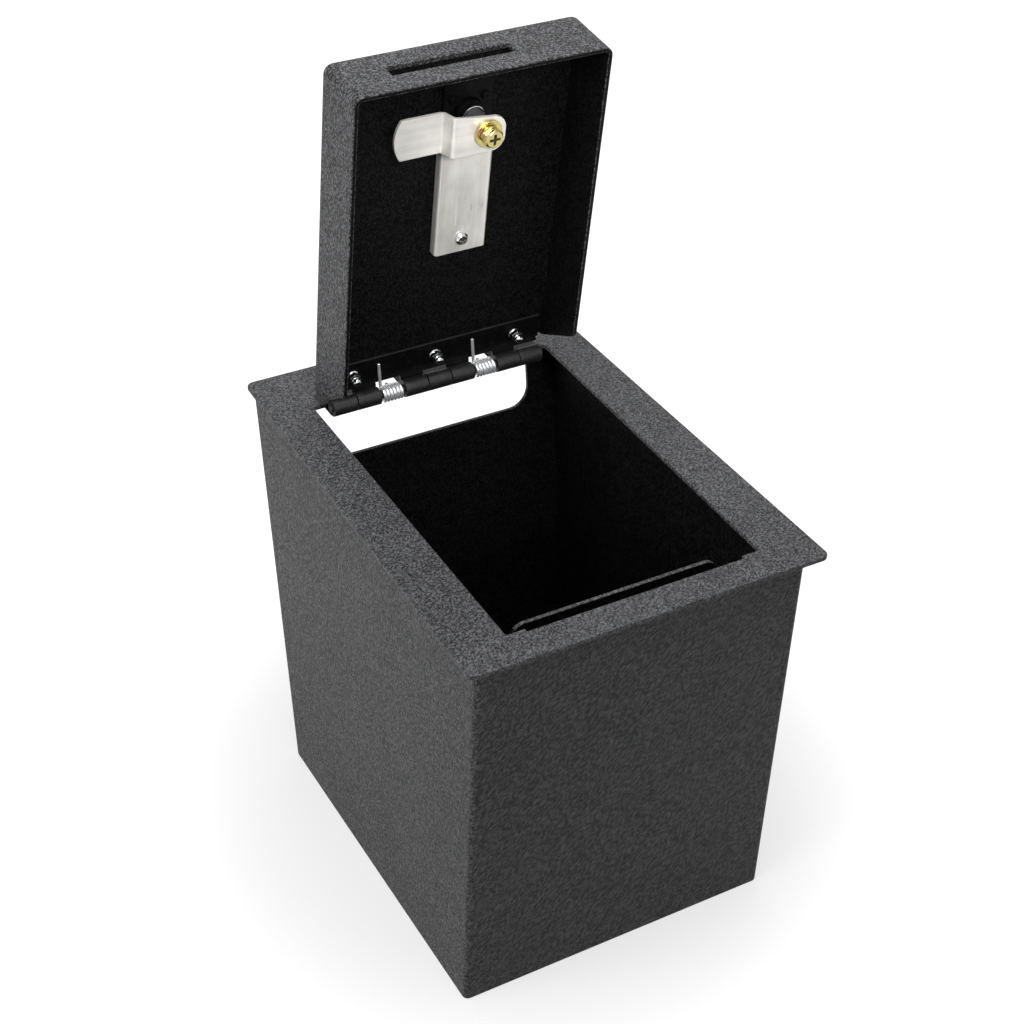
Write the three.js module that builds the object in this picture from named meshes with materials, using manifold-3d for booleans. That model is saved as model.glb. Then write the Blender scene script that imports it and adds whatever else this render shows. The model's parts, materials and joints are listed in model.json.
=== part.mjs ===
// Console safe: an open steel box with a flat rim, a lid pan on a sprung knuckle hinge,
// and a key lock whose bent cam swings out through a slot in the lid's skirt.
// Millimetres and degrees, +Z up, origin at the middle of the base, front towards -Y.
// The lid is modelled shut about the hinge axis and then turned to its open stop.
import * as THREE from 'three';
import { mergeVertices } from 'three/addons/utils/BufferGeometryUtils.js';
import Module from 'manifold-3d';

const wasm = await Module();
wasm.setup();

// Body
const HEIGHT = 250; // floor to the rim's top
const BODY_WIDTH = 199;
const BODY_DEPTH = 269; // at the rim
const BODY_SHEET = 2.7;
const BODY_BEND_R = 3.5; // outer radius of the two front bends
const REAR_WALL_LEAN = 45; // how far the rear wall's foot stands forward of its top
const FLOOR_CORNER_R = 3;
const BOLT_HOLE_R = 4.5;
const BOLT_SPACING_X = 120;
const BOLT_SPACING_Y = 150;

// Rim and its opening
const RIM_OVERHANG_SIDE = 8.5; // at the front end of each side
const RIM_OVERHANG_ENDS = 8.5;
const RIM_REAR_INSET = 6.5; // how much each side draws in towards the rear
const RIM_CORNER_R = 4.5;
const OPENING_WIDTH = 153;
const OPENING_CORNER_R = 1;
const FRONT_FLANGE = 21;
const REAR_FLANGE = 40;
const NOTCH_DEPTH = 2.2;
const NOTCH_WIDER = 2; // each side of the channel behind it
const SPRING_SLOT_DEPTH = 20; // from the hinge axis, in the rear flange and the body leaf
const SPRING_SLOT_WIDER = 4; // each side of a spring's cell

// Rear window
const WINDOW_WIDTH = 158;
const WINDOW_TOP = 12; // below the rim's top
const WINDOW_BOTTOM = 55.5; // below the rim's top
const WINDOW_LOWER_R = 13;
const WINDOW_UPPER_R = 5;

// Skirt channel behind the front flange
const CHANNEL_WIDTH = 127;
const CHANNEL_SHEET = 2.5;
const CHANNEL_ROOM = 12.8; // from the skirt's inner face to the upright
const CHANNEL_BELOW_CAM = 5;
const CHANNEL_WELD_LEG = 14;
const CHANNEL_CORNER_R = 8;
const SKIRT_TO_CHANNEL = 0.5; // above the channel's floor with the lid shut

// Hinge
const BARREL_R = 5.25;
const BARREL_LENGTH = 137;
const BARREL_CELLS = 9; // seven knuckles and two springs
const CELL_GAP = 0.6;
const BARREL_TO_RIM = 1.25;
const PIN_R = 2.5;
const PIN_CLEARANCE = 0.15;
const PIN_STANDS_OUT = 0.6;
const LEAF_SHEET = 1.6;
const LEAF_JOG = 2.5; // step from the knuckles to the lid's inner face
const LEAF_PAST_BARREL = 1.5; // at each end
const LID_LEAF_WIDTH = BARREL_LENGTH + 2 * LEAF_PAST_BARREL;
const LID_LEAF_TOP = 23; // from the axis
const LEAF_CLEAR_OF_KNUCKLE = 0.7;
const SPRING_NOTCH = 6.4; // from the axis, in the lid leaf
const STUD_FROM_LEAF_END = 17;
const STUD_SPACING = LID_LEAF_WIDTH / 2 - STUD_FROM_LEAF_END;
const STUD_R = 2.5;
const STUD_HOLE_CLEARANCE = 0.3;
const STUD_STANDS_OUT = 2.6; // past its nut
const STUD_DOME = [[0.55, 0.15], [0.87, 0.5], [1, 1]]; // its end: radius and height in stud radii
const NUT_ACROSS_FLATS = 8;
const NUT_HEIGHT = 4.2;
const NUT_COLLAR_R = 3.4;
const NUT_COLLAR_HEIGHT = 1.2;
const LID_STUD_FROM_AXIS = 14.5;

// Torsion springs
const WIRE_R = 0.85;
const SPRING_COIL_R = 4.3; // to the wire's centre
const SPRING_TURNS = 5;
const SPRING_PITCH = 2.35;
const SPRING_LEG = 17;
const SPRING_LEG_LEAN = 22; // lid leg, from the front of the coil back to the leaf
const SPRING_BODY_LEG = 20;
const SPRING_BODY_LEAN = 8; // body leg, down below the body leaf
const SPRING_SIDES = 5;
const SPRING_STEPS = 8;

// Lid
const LID_SHEET = 2.7;
const LID_GAP = 1.5; // to the opening, at the front and sides
const LID_SKIRT = 38; // overall depth
const LID_EDGE_R = 3;
const LID_CORNER_R = 5.5;
const LID_REAR_SETBACK = 8; // from the hinge axis
const SKIRT_HEEL = 5; // depth of the skirt at its rear end
const SKIRT_CUTBACK = 21; // length of the slanted rear cut
const SKIRT_CUT_R = 4;
const LID_OPEN = 84.5; // degrees from shut

// Lock
const LOCK_X = 9;
const LOCK_FROM_FRONT = 43;
const LOCK_BARREL_R = 8.2;
const LOCK_BARREL_END = 8.5; // depth from the lid's outer face
const LOCK_NECK_R = 6.9;
const LOCK_NECK_END = 11.5;
const LOCK_BEZEL_R = 11.5;
const LOCK_BEZEL_HEIGHT = 1.8;
const LOCK_BEZEL_BEVEL = 1;
const LOCK_HOLE_CLEARANCE = 0.3;
const PLUG_R = 5.6;
const PLUG_CLEARANCE = 0.15;
const PLUG_PROUD = 0.5; // above the bezel
const PLUG_END = 25.4;
const KEYWAY_WIDTH = 1.8;
const KEYWAY_LENGTH = 7.5;
const KEYWAY_DEPTH = 9;
const PLATE_WIDTH = 30;
const PLATE_FORWARD = 20; // from the lock's axis towards the front
const PLATE_BACK = 13;
const PLATE_SHEET = 2.5;
const PLATE_CORNER_R = 3;
const PLATE_SCREW_SPACING = 19.4;
const PLATE_SCREW_FORWARD = 8.8;
const PLATE_SCREW_R = 1.5;
const PLATE_SCREW_HEAD_R = 2.6;
const PLATE_SCREW_HEAD = 1.8;
const PLATE_SCREW_CROWN = 0.8; // share of the head's radius at its top
const PLATE_SCREW_BITE = 1.6; // into the lid's sheet

// Cam
const CAM_SHEET = 2;
const CAM_WIDTH = 24;
const CAM_HUB_TAPER = 3; // its front edge, from the bend to the hub's end
const CAM_OFFSET = 8; // from the hub down to the blade
const CAM_TIP_R = 21;
const CAM_TIP_CORNER_R = 3.5;
const CAM_HUB_END = 11;
const CAM_HUB_R = 8;
const CAM_BEND_HUB = 19;
const CAM_BEND_BLADE = 22;
const CAM_TO_WALL = 3.5; // tip to the front wall when locked
const SLOT_LEFT = 56; // from the lock's axis
const SLOT_RIGHT = 15;
const SLOT_ABOVE = 2.1; // the blade, with the lid shut
const SLOT_BELOW = 4;

// Cam fastening
const WASHER_R = 8;
const WASHER_THICKNESS = 1.5;
const SPRING_WASHER_R = 5.3;
const SPRING_WASHER_THICKNESS = 1.5;
const SPRING_WASHER_SPLIT = 0.9;
const CAM_SCREW_R = 3;
const CAM_SCREW_LENGTH = 16;
const CAM_SCREW_HEAD = 4.4;
const CAM_SCREW_FLATS = 10;
const CAM_SCREW_CHAMFER = 1.2;
const CAM_SCREW_CROSS = 1.6;
const CAM_SCREW_CROSS_LENGTH = 6.4;
const CAM_SCREW_CROSS_DEPTH = 2.2;

// Cam guard
const GUARD_WIDTH = 32;
const GUARD_SHEET = 1.2;
const GUARD_TOP = 9; // depth of its face from the lid's outer face
const GUARD_START = 14; // from the lock's axis towards the hinge
const GUARD_LENGTH = 73;
const GUARD_BEND_R = 2;
const GUARD_RIB_WIDTH = 8.8;
const GUARD_RIB_HEIGHT = 0.5;
const GUARD_SCREW_FROM_END = 9;
const GUARD_SCREW_R = 2;
const GUARD_SCREW_HEAD_R = 3.9;
const GUARD_SCREW_HEAD = 2.4;
const GUARD_SCREW_CROWN = 0.7; // share of the head's radius at its top
const GUARD_SCREW_CROSS = 1;
const GUARD_BOSS_R = 4;

const SEAT = 0.3; // gap between pieces that rest on each other in the turned lid
const OVERSHOOT = 5; // how far a cutting shape runs past what it cuts
const ARC_STEP = Math.PI / 12; // turn of each segment of a rounded corner
const EDGE_STEPS = 3;
const ROUND = 40; // sides of a large round piece
const SMALL_ROUND = 24;
const SLIM_ROUND = 16;

// Places that follow from the sizes
const rimWidth = BODY_WIDTH + 2 * RIM_OVERHANG_SIDE;
const rimDepth = BODY_DEPTH + 2 * RIM_OVERHANG_ENDS;
const rimUnder = HEIGHT - BODY_SHEET;
const innerHalfWidth = BODY_WIDTH / 2 - BODY_SHEET;
const innerFront = -BODY_DEPTH / 2 + BODY_SHEET;
const rearSheetAcross = BODY_SHEET * Math.hypot(1, REAR_WALL_LEAN / rimUnder); // along y
const rearOuter = (z) => BODY_DEPTH / 2 - REAR_WALL_LEAN * (1 - z / rimUnder);
const rearInner = (z) => rearOuter(z) - rearSheetAcross;
const openingFront = -rimDepth / 2 + FRONT_FLANGE;
const openingRear = rimDepth / 2 - REAR_FLANGE;
const axisY = openingRear - BARREL_R - BARREL_TO_RIM;
const axisZ = rimUnder - LEAF_SHEET + BARREL_R;
const cell = BARREL_LENGTH / BARREL_CELLS;

// The lid's own places, from the hinge axis with the lid shut
const lidTop = BARREL_R + LEAF_JOG + LID_SHEET;
const lidInner = lidTop - LID_SHEET;
const lidFront = openingFront + LID_GAP - axisY;
const lidRear = -LID_REAR_SETBACK;
const lidHalfWidth = OPENING_WIDTH / 2 - LID_GAP;
const lidBottom = lidTop - LID_SKIRT;
const lockY = lidFront + LOCK_FROM_FRONT;
const camHubFace = PLUG_END + SEAT; // depth of the hub's face on the plug
const bladeFace = camHubFace - CAM_OFFSET;
const camReach = LOCK_FROM_FRONT + (openingFront + LID_GAP - innerFront) - CAM_TO_WALL;
const bladeUnder = axisZ + lidTop - bladeFace - CAM_SHEET; // with the lid shut
const channelFloor = axisZ + lidBottom - SKIRT_TO_CHANNEL;
const channelTop = bladeUnder - CHANNEL_BELOW_CAM;
const channelUpright = openingFront + LID_GAP + LID_SHEET + CHANNEL_ROOM;

// Solids
function solid(geometry) {
  const bare = geometry.index ? geometry.toNonIndexed() : geometry.clone();
  for (const name of Object.keys(bare.attributes)) {
    if (name !== 'position') bare.deleteAttribute(name);
  }
  const merged = mergeVertices(bare, 1e-4);
  return new wasm.Manifold(new wasm.Mesh({
    numProp: 3,
    vertProperties: new Float32Array(merged.attributes.position.array),
    triVerts: new Uint32Array(merged.index.array),
  }));
}

function geometryOf(body) {
  const mesh = body.getMesh();
  const geometry = new THREE.BufferGeometry();
  geometry.setAttribute('position', new THREE.BufferAttribute(new Float32Array(mesh.vertProperties), 3));
  geometry.setIndex(new THREE.BufferAttribute(new Uint32Array(mesh.triVerts), 1));
  return geometry;
}

const join = (...bodies) => bodies.reduce((all, body) => all.add(body));
const cut = (body, ...tools) => tools.reduce((rest, tool) => rest.subtract(tool), body);

function block(x0, x1, y0, y1, z0, z1) {
  const geometry = new THREE.BoxGeometry(x1 - x0, y1 - y0, z1 - z0);
  return solid(geometry.translate((x0 + x1) / 2, (y0 + y1) / 2, (z0 + z1) / 2));
}

function post(radius, x, y, z0, z1, sides = SMALL_ROUND, topRadius = radius) {
  const geometry = new THREE.CylinderGeometry(topRadius, radius, z1 - z0, sides);
  return solid(geometry.rotateX(Math.PI / 2).translate(x, y, (z0 + z1) / 2));
}

// A round piece from its half section: [radius, z] from the lowest point on the axis up
function turned(section, x, y, sides = SMALL_ROUND) {
  const points = section.map(([radius, z]) => new THREE.Vector2(radius, z));
  return solid(new THREE.LatheGeometry(points, sides).rotateX(Math.PI / 2).translate(x, y, 0));
}

function rod(radius, x0, x1, y, z, sides = SMALL_ROUND) {
  const geometry = new THREE.CylinderGeometry(radius, radius, x1 - x0, sides);
  return solid(geometry.rotateZ(-Math.PI / 2).translate((x0 + x1) / 2, y, z));
}

// A closed outline through corners [x, y, radius], rounded by true arcs
function outline(corners) {
  const points = corners.flatMap(([x, y, radius = 0], i) => {
    const corner = new THREE.Vector2(x, y);
    if (radius === 0) return [corner];
    const before = new THREE.Vector2(...corners.at(i - 1).slice(0, 2)).sub(corner).normalize();
    const after = new THREE.Vector2(...corners[(i + 1) % corners.length].slice(0, 2)).sub(corner).normalize();
    const half = Math.acos(before.dot(after)) / 2;
    const centre = before.clone().add(after).normalize().multiplyScalar(radius / Math.sin(half)).add(corner);
    const sweep = (Math.PI - 2 * half) * (before.cross(after) > 0 ? -1 : 1);
    const start = before.clone().multiplyScalar(radius / Math.tan(half)).add(corner).sub(centre).angle();
    const steps = Math.max(2, Math.round(Math.abs(sweep) / ARC_STEP));
    return Array.from({ length: steps + 1 }, (_, k) => new THREE.Vector2(
      centre.x + radius * Math.cos(start + sweep * k / steps),
      centre.y + radius * Math.sin(start + sweep * k / steps)));
  });
  return new THREE.Shape(points);
}

const rectangle = (x0, x1, y0, y1, r = 0) => outline([[x0, y0, r], [x1, y0, r], [x1, y1, r], [x0, y1, r]]);

// An outline in x and y, raised from z0 to z1
function slab(shape, z0, z1) {
  const geometry = new THREE.ExtrudeGeometry(shape, { depth: z1 - z0, bevelEnabled: false });
  return solid(geometry.translate(0, 0, z0));
}

// An outline in y and z, run along x
function profile(shape, x0, x1) {
  const geometry = new THREE.ExtrudeGeometry(shape, { depth: x1 - x0, bevelEnabled: false });
  const turn = new THREE.Matrix4().makeBasis(
    new THREE.Vector3(0, 1, 0), new THREE.Vector3(0, 0, 1), new THREE.Vector3(1, 0, 0));
  return solid(geometry.applyMatrix4(turn).translate(x0, 0, 0));
}

// An outline in x and z, run along y
function upright(shape, y0, y1) {
  const geometry = new THREE.ExtrudeGeometry(shape, { depth: y1 - y0, bevelEnabled: false });
  const turn = new THREE.Matrix4().makeBasis(
    new THREE.Vector3(1, 0, 0), new THREE.Vector3(0, 0, 1), new THREE.Vector3(0, -1, 0));
  return solid(geometry.applyMatrix4(turn).translate(0, y1, 0));
}

function hexagon(acrossFlats, x, y, z0, z1) {
  const corner = acrossFlats / Math.sqrt(3);
  return post(corner, x, y, z0, z1, 6);
}

function crossRecess(x, y, width, length, z0, z1) {
  return join(
    block(x - length / 2, x + length / 2, y - width / 2, y + width / 2, z0, z1),
    block(x - width / 2, x + width / 2, y - length / 2, y + length / 2, z0, z1),
  );
}

// Body
function bodyWrap() {
  const half = BODY_WIDTH / 2;
  const outer = outline([
    [-half, -BODY_DEPTH / 2, BODY_BEND_R], [half, -BODY_DEPTH / 2, BODY_BEND_R],
    [half, BODY_DEPTH / 2], [-half, BODY_DEPTH / 2],
  ]);
  const innerR = BODY_BEND_R - BODY_SHEET;
  const inner = outline([
    [-innerHalfWidth, innerFront, innerR], [innerHalfWidth, innerFront, innerR],
    [innerHalfWidth, BODY_DEPTH / 2 + OVERSHOOT], [-innerHalfWidth, BODY_DEPTH / 2 + OVERSHOOT],
  ]);
  const side = outline([
    [-BODY_DEPTH / 2 - OVERSHOOT, 0], [rearOuter(0), 0],
    [rearOuter(rimUnder), rimUnder], [-BODY_DEPTH / 2 - OVERSHOOT, rimUnder],
  ]);
  const wrap = cut(slab(outer, 0, rimUnder), slab(inner, -OVERSHOOT, rimUnder + OVERSHOOT));
  return wrap.intersect(profile(side, -half - OVERSHOOT, half + OVERSHOOT));
}

function rearWall() {
  const low = HEIGHT - WINDOW_BOTTOM;
  const high = HEIGHT - WINDOW_TOP;
  const half = WINDOW_WIDTH / 2;
  const window = outline([
    [-half, low, WINDOW_LOWER_R], [half, low, WINDOW_LOWER_R],
    [half, high, WINDOW_UPPER_R], [-half, high, WINDOW_UPPER_R],
  ]);
  const section = outline([
    [rearInner(0), 0], [rearOuter(0), 0], [rearOuter(rimUnder), rimUnder], [rearInner(rimUnder), rimUnder],
  ]);
  return cut(
    profile(section, -innerHalfWidth, innerHalfWidth),
    upright(window, rearInner(0), BODY_DEPTH / 2 + OVERSHOOT),
  );
}

function floorPlate() {
  const rear = rearInner(0) - SEAT;
  const shape = rectangle(-innerHalfWidth, innerHalfWidth, innerFront, rear, FLOOR_CORNER_R);
  const middle = (innerFront + rear) / 2;
  const holes = [-BOLT_SPACING_X / 2, BOLT_SPACING_X / 2].flatMap((x) => [
    post(BOLT_HOLE_R, x, middle - BOLT_SPACING_Y / 2, -OVERSHOOT, BODY_SHEET + OVERSHOOT),
    post(BOLT_HOLE_R, x, middle + BOLT_SPACING_Y / 2, -OVERSHOOT, BODY_SHEET + OVERSHOOT),
  ]);
  return cut(slab(shape, 0, BODY_SHEET), ...holes);
}

// A ledge that overhangs the walls all round, joined to a frame that covers their top edges
function rimFrame() {
  const front = rimWidth / 2;
  const rear = front - RIM_REAR_INSET;
  const outer = outline([
    [-front, -rimDepth / 2, RIM_CORNER_R], [front, -rimDepth / 2, RIM_CORNER_R],
    [rear, rimDepth / 2, RIM_CORNER_R], [-rear, rimDepth / 2, RIM_CORNER_R],
  ]);
  const half = BODY_WIDTH / 2;
  const walls = outline([
    [-half, -BODY_DEPTH / 2, BODY_BEND_R], [half, -BODY_DEPTH / 2, BODY_BEND_R],
    [half, BODY_DEPTH / 2], [-half, BODY_DEPTH / 2],
  ]);
  const opening = rectangle(
    -OPENING_WIDTH / 2, OPENING_WIDTH / 2, openingFront, openingRear, OPENING_CORNER_R);
  const notchHalf = CHANNEL_WIDTH / 2 + NOTCH_WIDER;
  const low = rimUnder - OVERSHOOT;
  const high = HEIGHT + OVERSHOOT;
  const ledge = cut(slab(outer, rimUnder, HEIGHT), slab(walls, low, high));
  const frame = cut(
    slab(walls, rimUnder, HEIGHT),
    slab(opening, low, high),
    block(-notchHalf, notchHalf, openingFront - NOTCH_DEPTH, openingFront + OVERSHOOT, low, high),
    ...springSlots().map(([x0, x1]) => block(x0, x1, axisY, axisY + SPRING_SLOT_DEPTH, low, high)),
  );
  return join(ledge, frame);
}

// The springs' room in the rear flange and the body leaf, as [left, right]
function springSlots() {
  return cellsOf('spring')
    .map((i) => [cellStart(i) - SPRING_SLOT_WIDER, cellStart(i + 1) + SPRING_SLOT_WIDER]);
}

function skirtChannel() {
  const half = CHANNEL_WIDTH / 2;
  const section = outline([
    [innerFront, channelFloor - CHANNEL_WELD_LEG],
    [innerFront + CHANNEL_SHEET, channelFloor - CHANNEL_WELD_LEG],
    [innerFront + CHANNEL_SHEET, channelFloor - CHANNEL_SHEET],
    [channelUpright + CHANNEL_SHEET, channelFloor - CHANNEL_SHEET, CHANNEL_SHEET],
    [channelUpright + CHANNEL_SHEET, channelTop], [channelUpright, channelTop],
    [channelUpright, channelFloor], [innerFront, channelFloor],
  ]);
  const face = outline([
    [-half, channelFloor - CHANNEL_WELD_LEG], [half, channelFloor - CHANNEL_WELD_LEG],
    [half, channelTop, CHANNEL_CORNER_R], [-half, channelTop, CHANNEL_CORNER_R],
  ]);
  return profile(section, -half, half)
    .intersect(upright(face, innerFront - OVERSHOOT, channelUpright + CHANNEL_SHEET + OVERSHOOT));
}

// Hinge. The barrel's cells, left to right, belong to the body leaf, the lid leaf or a spring.
const CELL_OWNERS = ['body', 'lid', 'spring', 'lid', 'body', 'lid', 'spring', 'lid', 'body'];
const cellStart = (i) => -BARREL_LENGTH / 2 + i * cell;
const cellsOf = (owner) => CELL_OWNERS.map((name, i) => (name === owner ? i : -1)).filter((i) => i >= 0);

function knuckles(owner, y, z) {
  return join(...cellsOf(owner).map((i) => rod(
    BARREL_R, cellStart(i) + CELL_GAP / 2, cellStart(i + 1) - CELL_GAP / 2, y, z, ROUND)));
}

// Clears a leaf round the barrel, where a cell isn't its own
function leafClearance(owner, clearCell) {
  return CELL_OWNERS.map((name, i) => [name, i]).filter(([name]) => name !== owner)
    .map(([name, i]) => clearCell(name, cellStart(i) - CELL_GAP / 2, cellStart(i + 1) + CELL_GAP / 2));
}

const KNUCKLE_REACH = BARREL_R + LEAF_CLEAR_OF_KNUCKLE;

function bodyLeaf() {
  const half = BARREL_LENGTH / 2;
  const low = rimUnder - 2 * LEAF_SHEET;
  const high = rimUnder + LEAF_SHEET;
  const plate = block(-half, half, axisY, bodyLeafEnd, rimUnder - LEAF_SHEET, rimUnder);
  const notches = leafClearance('body', (name, x0, x1) => block(
    x0, x1, axisY - OVERSHOOT, axisY + KNUCKLE_REACH, low, high));
  const slots = springSlots().map(([x0, x1]) => block(
    x0, x1, axisY + BARREL_R, axisY + SPRING_SLOT_DEPTH, low, high));
  const ends = rod(PIN_R + PIN_CLEARANCE, -half - OVERSHOOT, half + OVERSHOOT, axisY, axisZ);
  const holes = studPlaces.map((x) => post(
    STUD_R + STUD_HOLE_CLEARANCE, x, bodyStudY, rimUnder - OVERSHOOT, rimUnder + OVERSHOOT));
  return cut(join(cut(plate, ...notches, ...slots), knuckles('body', axisY, axisZ)), ends, ...holes);
}

function lidLeaf() {
  const half = BARREL_LENGTH / 2;
  const face = lidInner - SEAT;
  const section = outline([
    [0, BARREL_R], [-BARREL_R, BARREL_R], [-LID_REAR_SETBACK, face], [-LID_LEAF_TOP, face],
    [-LID_LEAF_TOP, face - LEAF_SHEET], [-LID_REAR_SETBACK - LEAF_SHEET / 2, face - LEAF_SHEET],
    [-BARREL_R, BARREL_R - LEAF_SHEET], [0, BARREL_R - LEAF_SHEET],
  ]);
  const wide = LID_LEAF_WIDTH / 2;
  const sides = [-1, 1].map((side) => {
    const [x0, x1] = side < 0 ? [-wide - OVERSHOOT, -half] : [half, wide + OVERSHOOT];
    return block(x0, x1, -LID_REAR_SETBACK, BARREL_R, -BARREL_R, lidInner + OVERSHOOT);
  });
  const notches = leafClearance('lid', (name, x0, x1) => block(
    x0, x1, name === 'spring' ? -SPRING_NOTCH : -KNUCKLE_REACH, BARREL_R + OVERSHOOT,
    -BARREL_R, lidInner + OVERSHOOT));
  const plate = cut(profile(section, -wide, wide), ...sides, ...notches);
  const bore = rod(PIN_R + PIN_CLEARANCE, -half - OVERSHOOT, half + OVERSHOOT, 0, 0);
  const holes = studPlaces.map((x) => post(
    STUD_R + STUD_HOLE_CLEARANCE, x, -LID_STUD_FROM_AXIS, face - OVERSHOOT, face + OVERSHOOT));
  return cut(join(plate, knuckles('lid', 0, 0)), bore, ...holes);
}

const studPlaces = [-STUD_SPACING, 0, STUD_SPACING];
const bodyLeafEnd = rearInner(rimUnder - LEAF_SHEET) - SEAT;
const bodyStudY = (openingRear + bodyLeafEnd) / 2;
const studLength = SEAT + LEAF_SHEET + SEAT + NUT_HEIGHT + NUT_COLLAR_HEIGHT + STUD_STANDS_OUT;

// Studs and nuts hang from a face at height z, which carries the leaf
function stud(x, y, z) {
  const end = z - studLength;
  return turned([
    [0, end], ...STUD_DOME.map(([across, up]) => [across * STUD_R, end + up * STUD_R]), [STUD_R, z], [0, z],
  ], x, y, SLIM_ROUND);
}

function nut(x, y, z) {
  const low = z - NUT_HEIGHT;
  const body = join(
    hexagon(NUT_ACROSS_FLATS, x, y, low, z),
    post(NUT_COLLAR_R, x, y, low - NUT_COLLAR_HEIGHT, z - NUT_HEIGHT / 2, SMALL_ROUND),
  );
  return cut(body, post(STUD_R + STUD_HOLE_CLEARANCE, x, y, low - OVERSHOOT, z + OVERSHOOT, SLIM_ROUND));
}

function hingePin() {
  const half = BARREL_LENGTH / 2 + PIN_STANDS_OUT;
  return rod(PIN_R, -half, half, axisY, axisZ, SMALL_ROUND);
}

// One unbroken wire: the lid leg, the turns from a formula, then the body leg
function springPath(middle) {
  const lean = THREE.MathUtils.degToRad(SPRING_LEG_LEAN);
  const drop = THREE.MathUtils.degToRad(SPRING_BODY_LEAN);
  const first = Math.PI - lean;
  const last = 1.5 * Math.PI - drop + 2 * Math.PI * SPRING_TURNS;
  const steps = Math.round((last - first) / (2 * Math.PI) * SPRING_STEPS);
  const coil = [];
  for (let i = 0; i <= steps; i += 1) {
    const a = first + (last - first) * i / steps;
    const x = middle + SPRING_PITCH * ((a - first) - (last - first) / 2) / (2 * Math.PI);
    coil.push(new THREE.Vector3(x, axisY + SPRING_COIL_R * Math.cos(a), axisZ + SPRING_COIL_R * Math.sin(a)));
  }
  const lidWay = new THREE.Vector3(0, Math.sin(lean), Math.cos(lean));
  const bodyWay = new THREE.Vector3(0, Math.cos(drop), -Math.sin(drop));
  const along = (start, way, length) => start.clone().addScaledVector(way, length);
  const straight = 2 * WIRE_R;
  const start = coil[0];
  const end = coil.at(-1);
  return [
    along(start, lidWay, SPRING_LEG), along(start, lidWay, SPRING_LEG - straight),
    along(start, lidWay, straight), ...coil, along(end, bodyWay, straight),
    along(end, bodyWay, SPRING_BODY_LEG - straight), along(end, bodyWay, SPRING_BODY_LEG),
  ];
}

function sweptWire(points, radius, sides) {
  const count = points.length;
  const way = points.map((point, i) => points[Math.min(i + 1, count - 1)].clone()
    .sub(points[Math.max(i - 1, 0)]).normalize());
  let normal = new THREE.Vector3(1, 0, 0);
  const vertices = [];
  points.forEach((point, i) => {
    normal = normal.clone().addScaledVector(way[i], -normal.dot(way[i])).normalize();
    const side = new THREE.Vector3().crossVectors(way[i], normal);
    for (let k = 0; k < sides; k += 1) {
      const a = 2 * Math.PI * k / sides;
      const p = point.clone()
        .addScaledVector(normal, radius * Math.cos(a))
        .addScaledVector(side, radius * Math.sin(a));
      vertices.push(p.x, p.y, p.z);
    }
  });
  const faces = [];
  for (let i = 0; i < count - 1; i += 1) {
    for (let k = 0; k < sides; k += 1) {
      const a = i * sides + k;
      const b = i * sides + (k + 1) % sides;
      faces.push(a, b, a + sides, b, b + sides, a + sides);
    }
  }
  for (let k = 1; k < sides - 1; k += 1) {
    const last = (count - 1) * sides;
    faces.push(0, k + 1, k, last, last + k, last + k + 1);
  }
  const geometry = new THREE.BufferGeometry();
  geometry.setAttribute('position', new THREE.BufferAttribute(new Float32Array(vertices), 3));
  geometry.setIndex(faces);
  return geometry;
}

// Least clear gap between the wire and itself, leaving out neighbours along the wire
function leastGap(points, radius, spread) {
  let least = Infinity;
  for (let i = 0; i < points.length; i += 1) {
    for (let j = i + spread; j < points.length; j += 1) {
      least = Math.min(least, points[i].distanceTo(points[j]) - 2 * radius);
    }
  }
  return least;
}

function spring(name, index) {
  const points = springPath((cellStart(index) + cellStart(index + 1)) / 2);
  const coil = points.slice(3, -3);
  console.log(`${name}: least gap to itself ${leastGap(coil, WIRE_R, SPRING_STEPS / 2).toFixed(2)} mm`);
  return sweptWire(points, WIRE_R, SPRING_SIDES);
}

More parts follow.
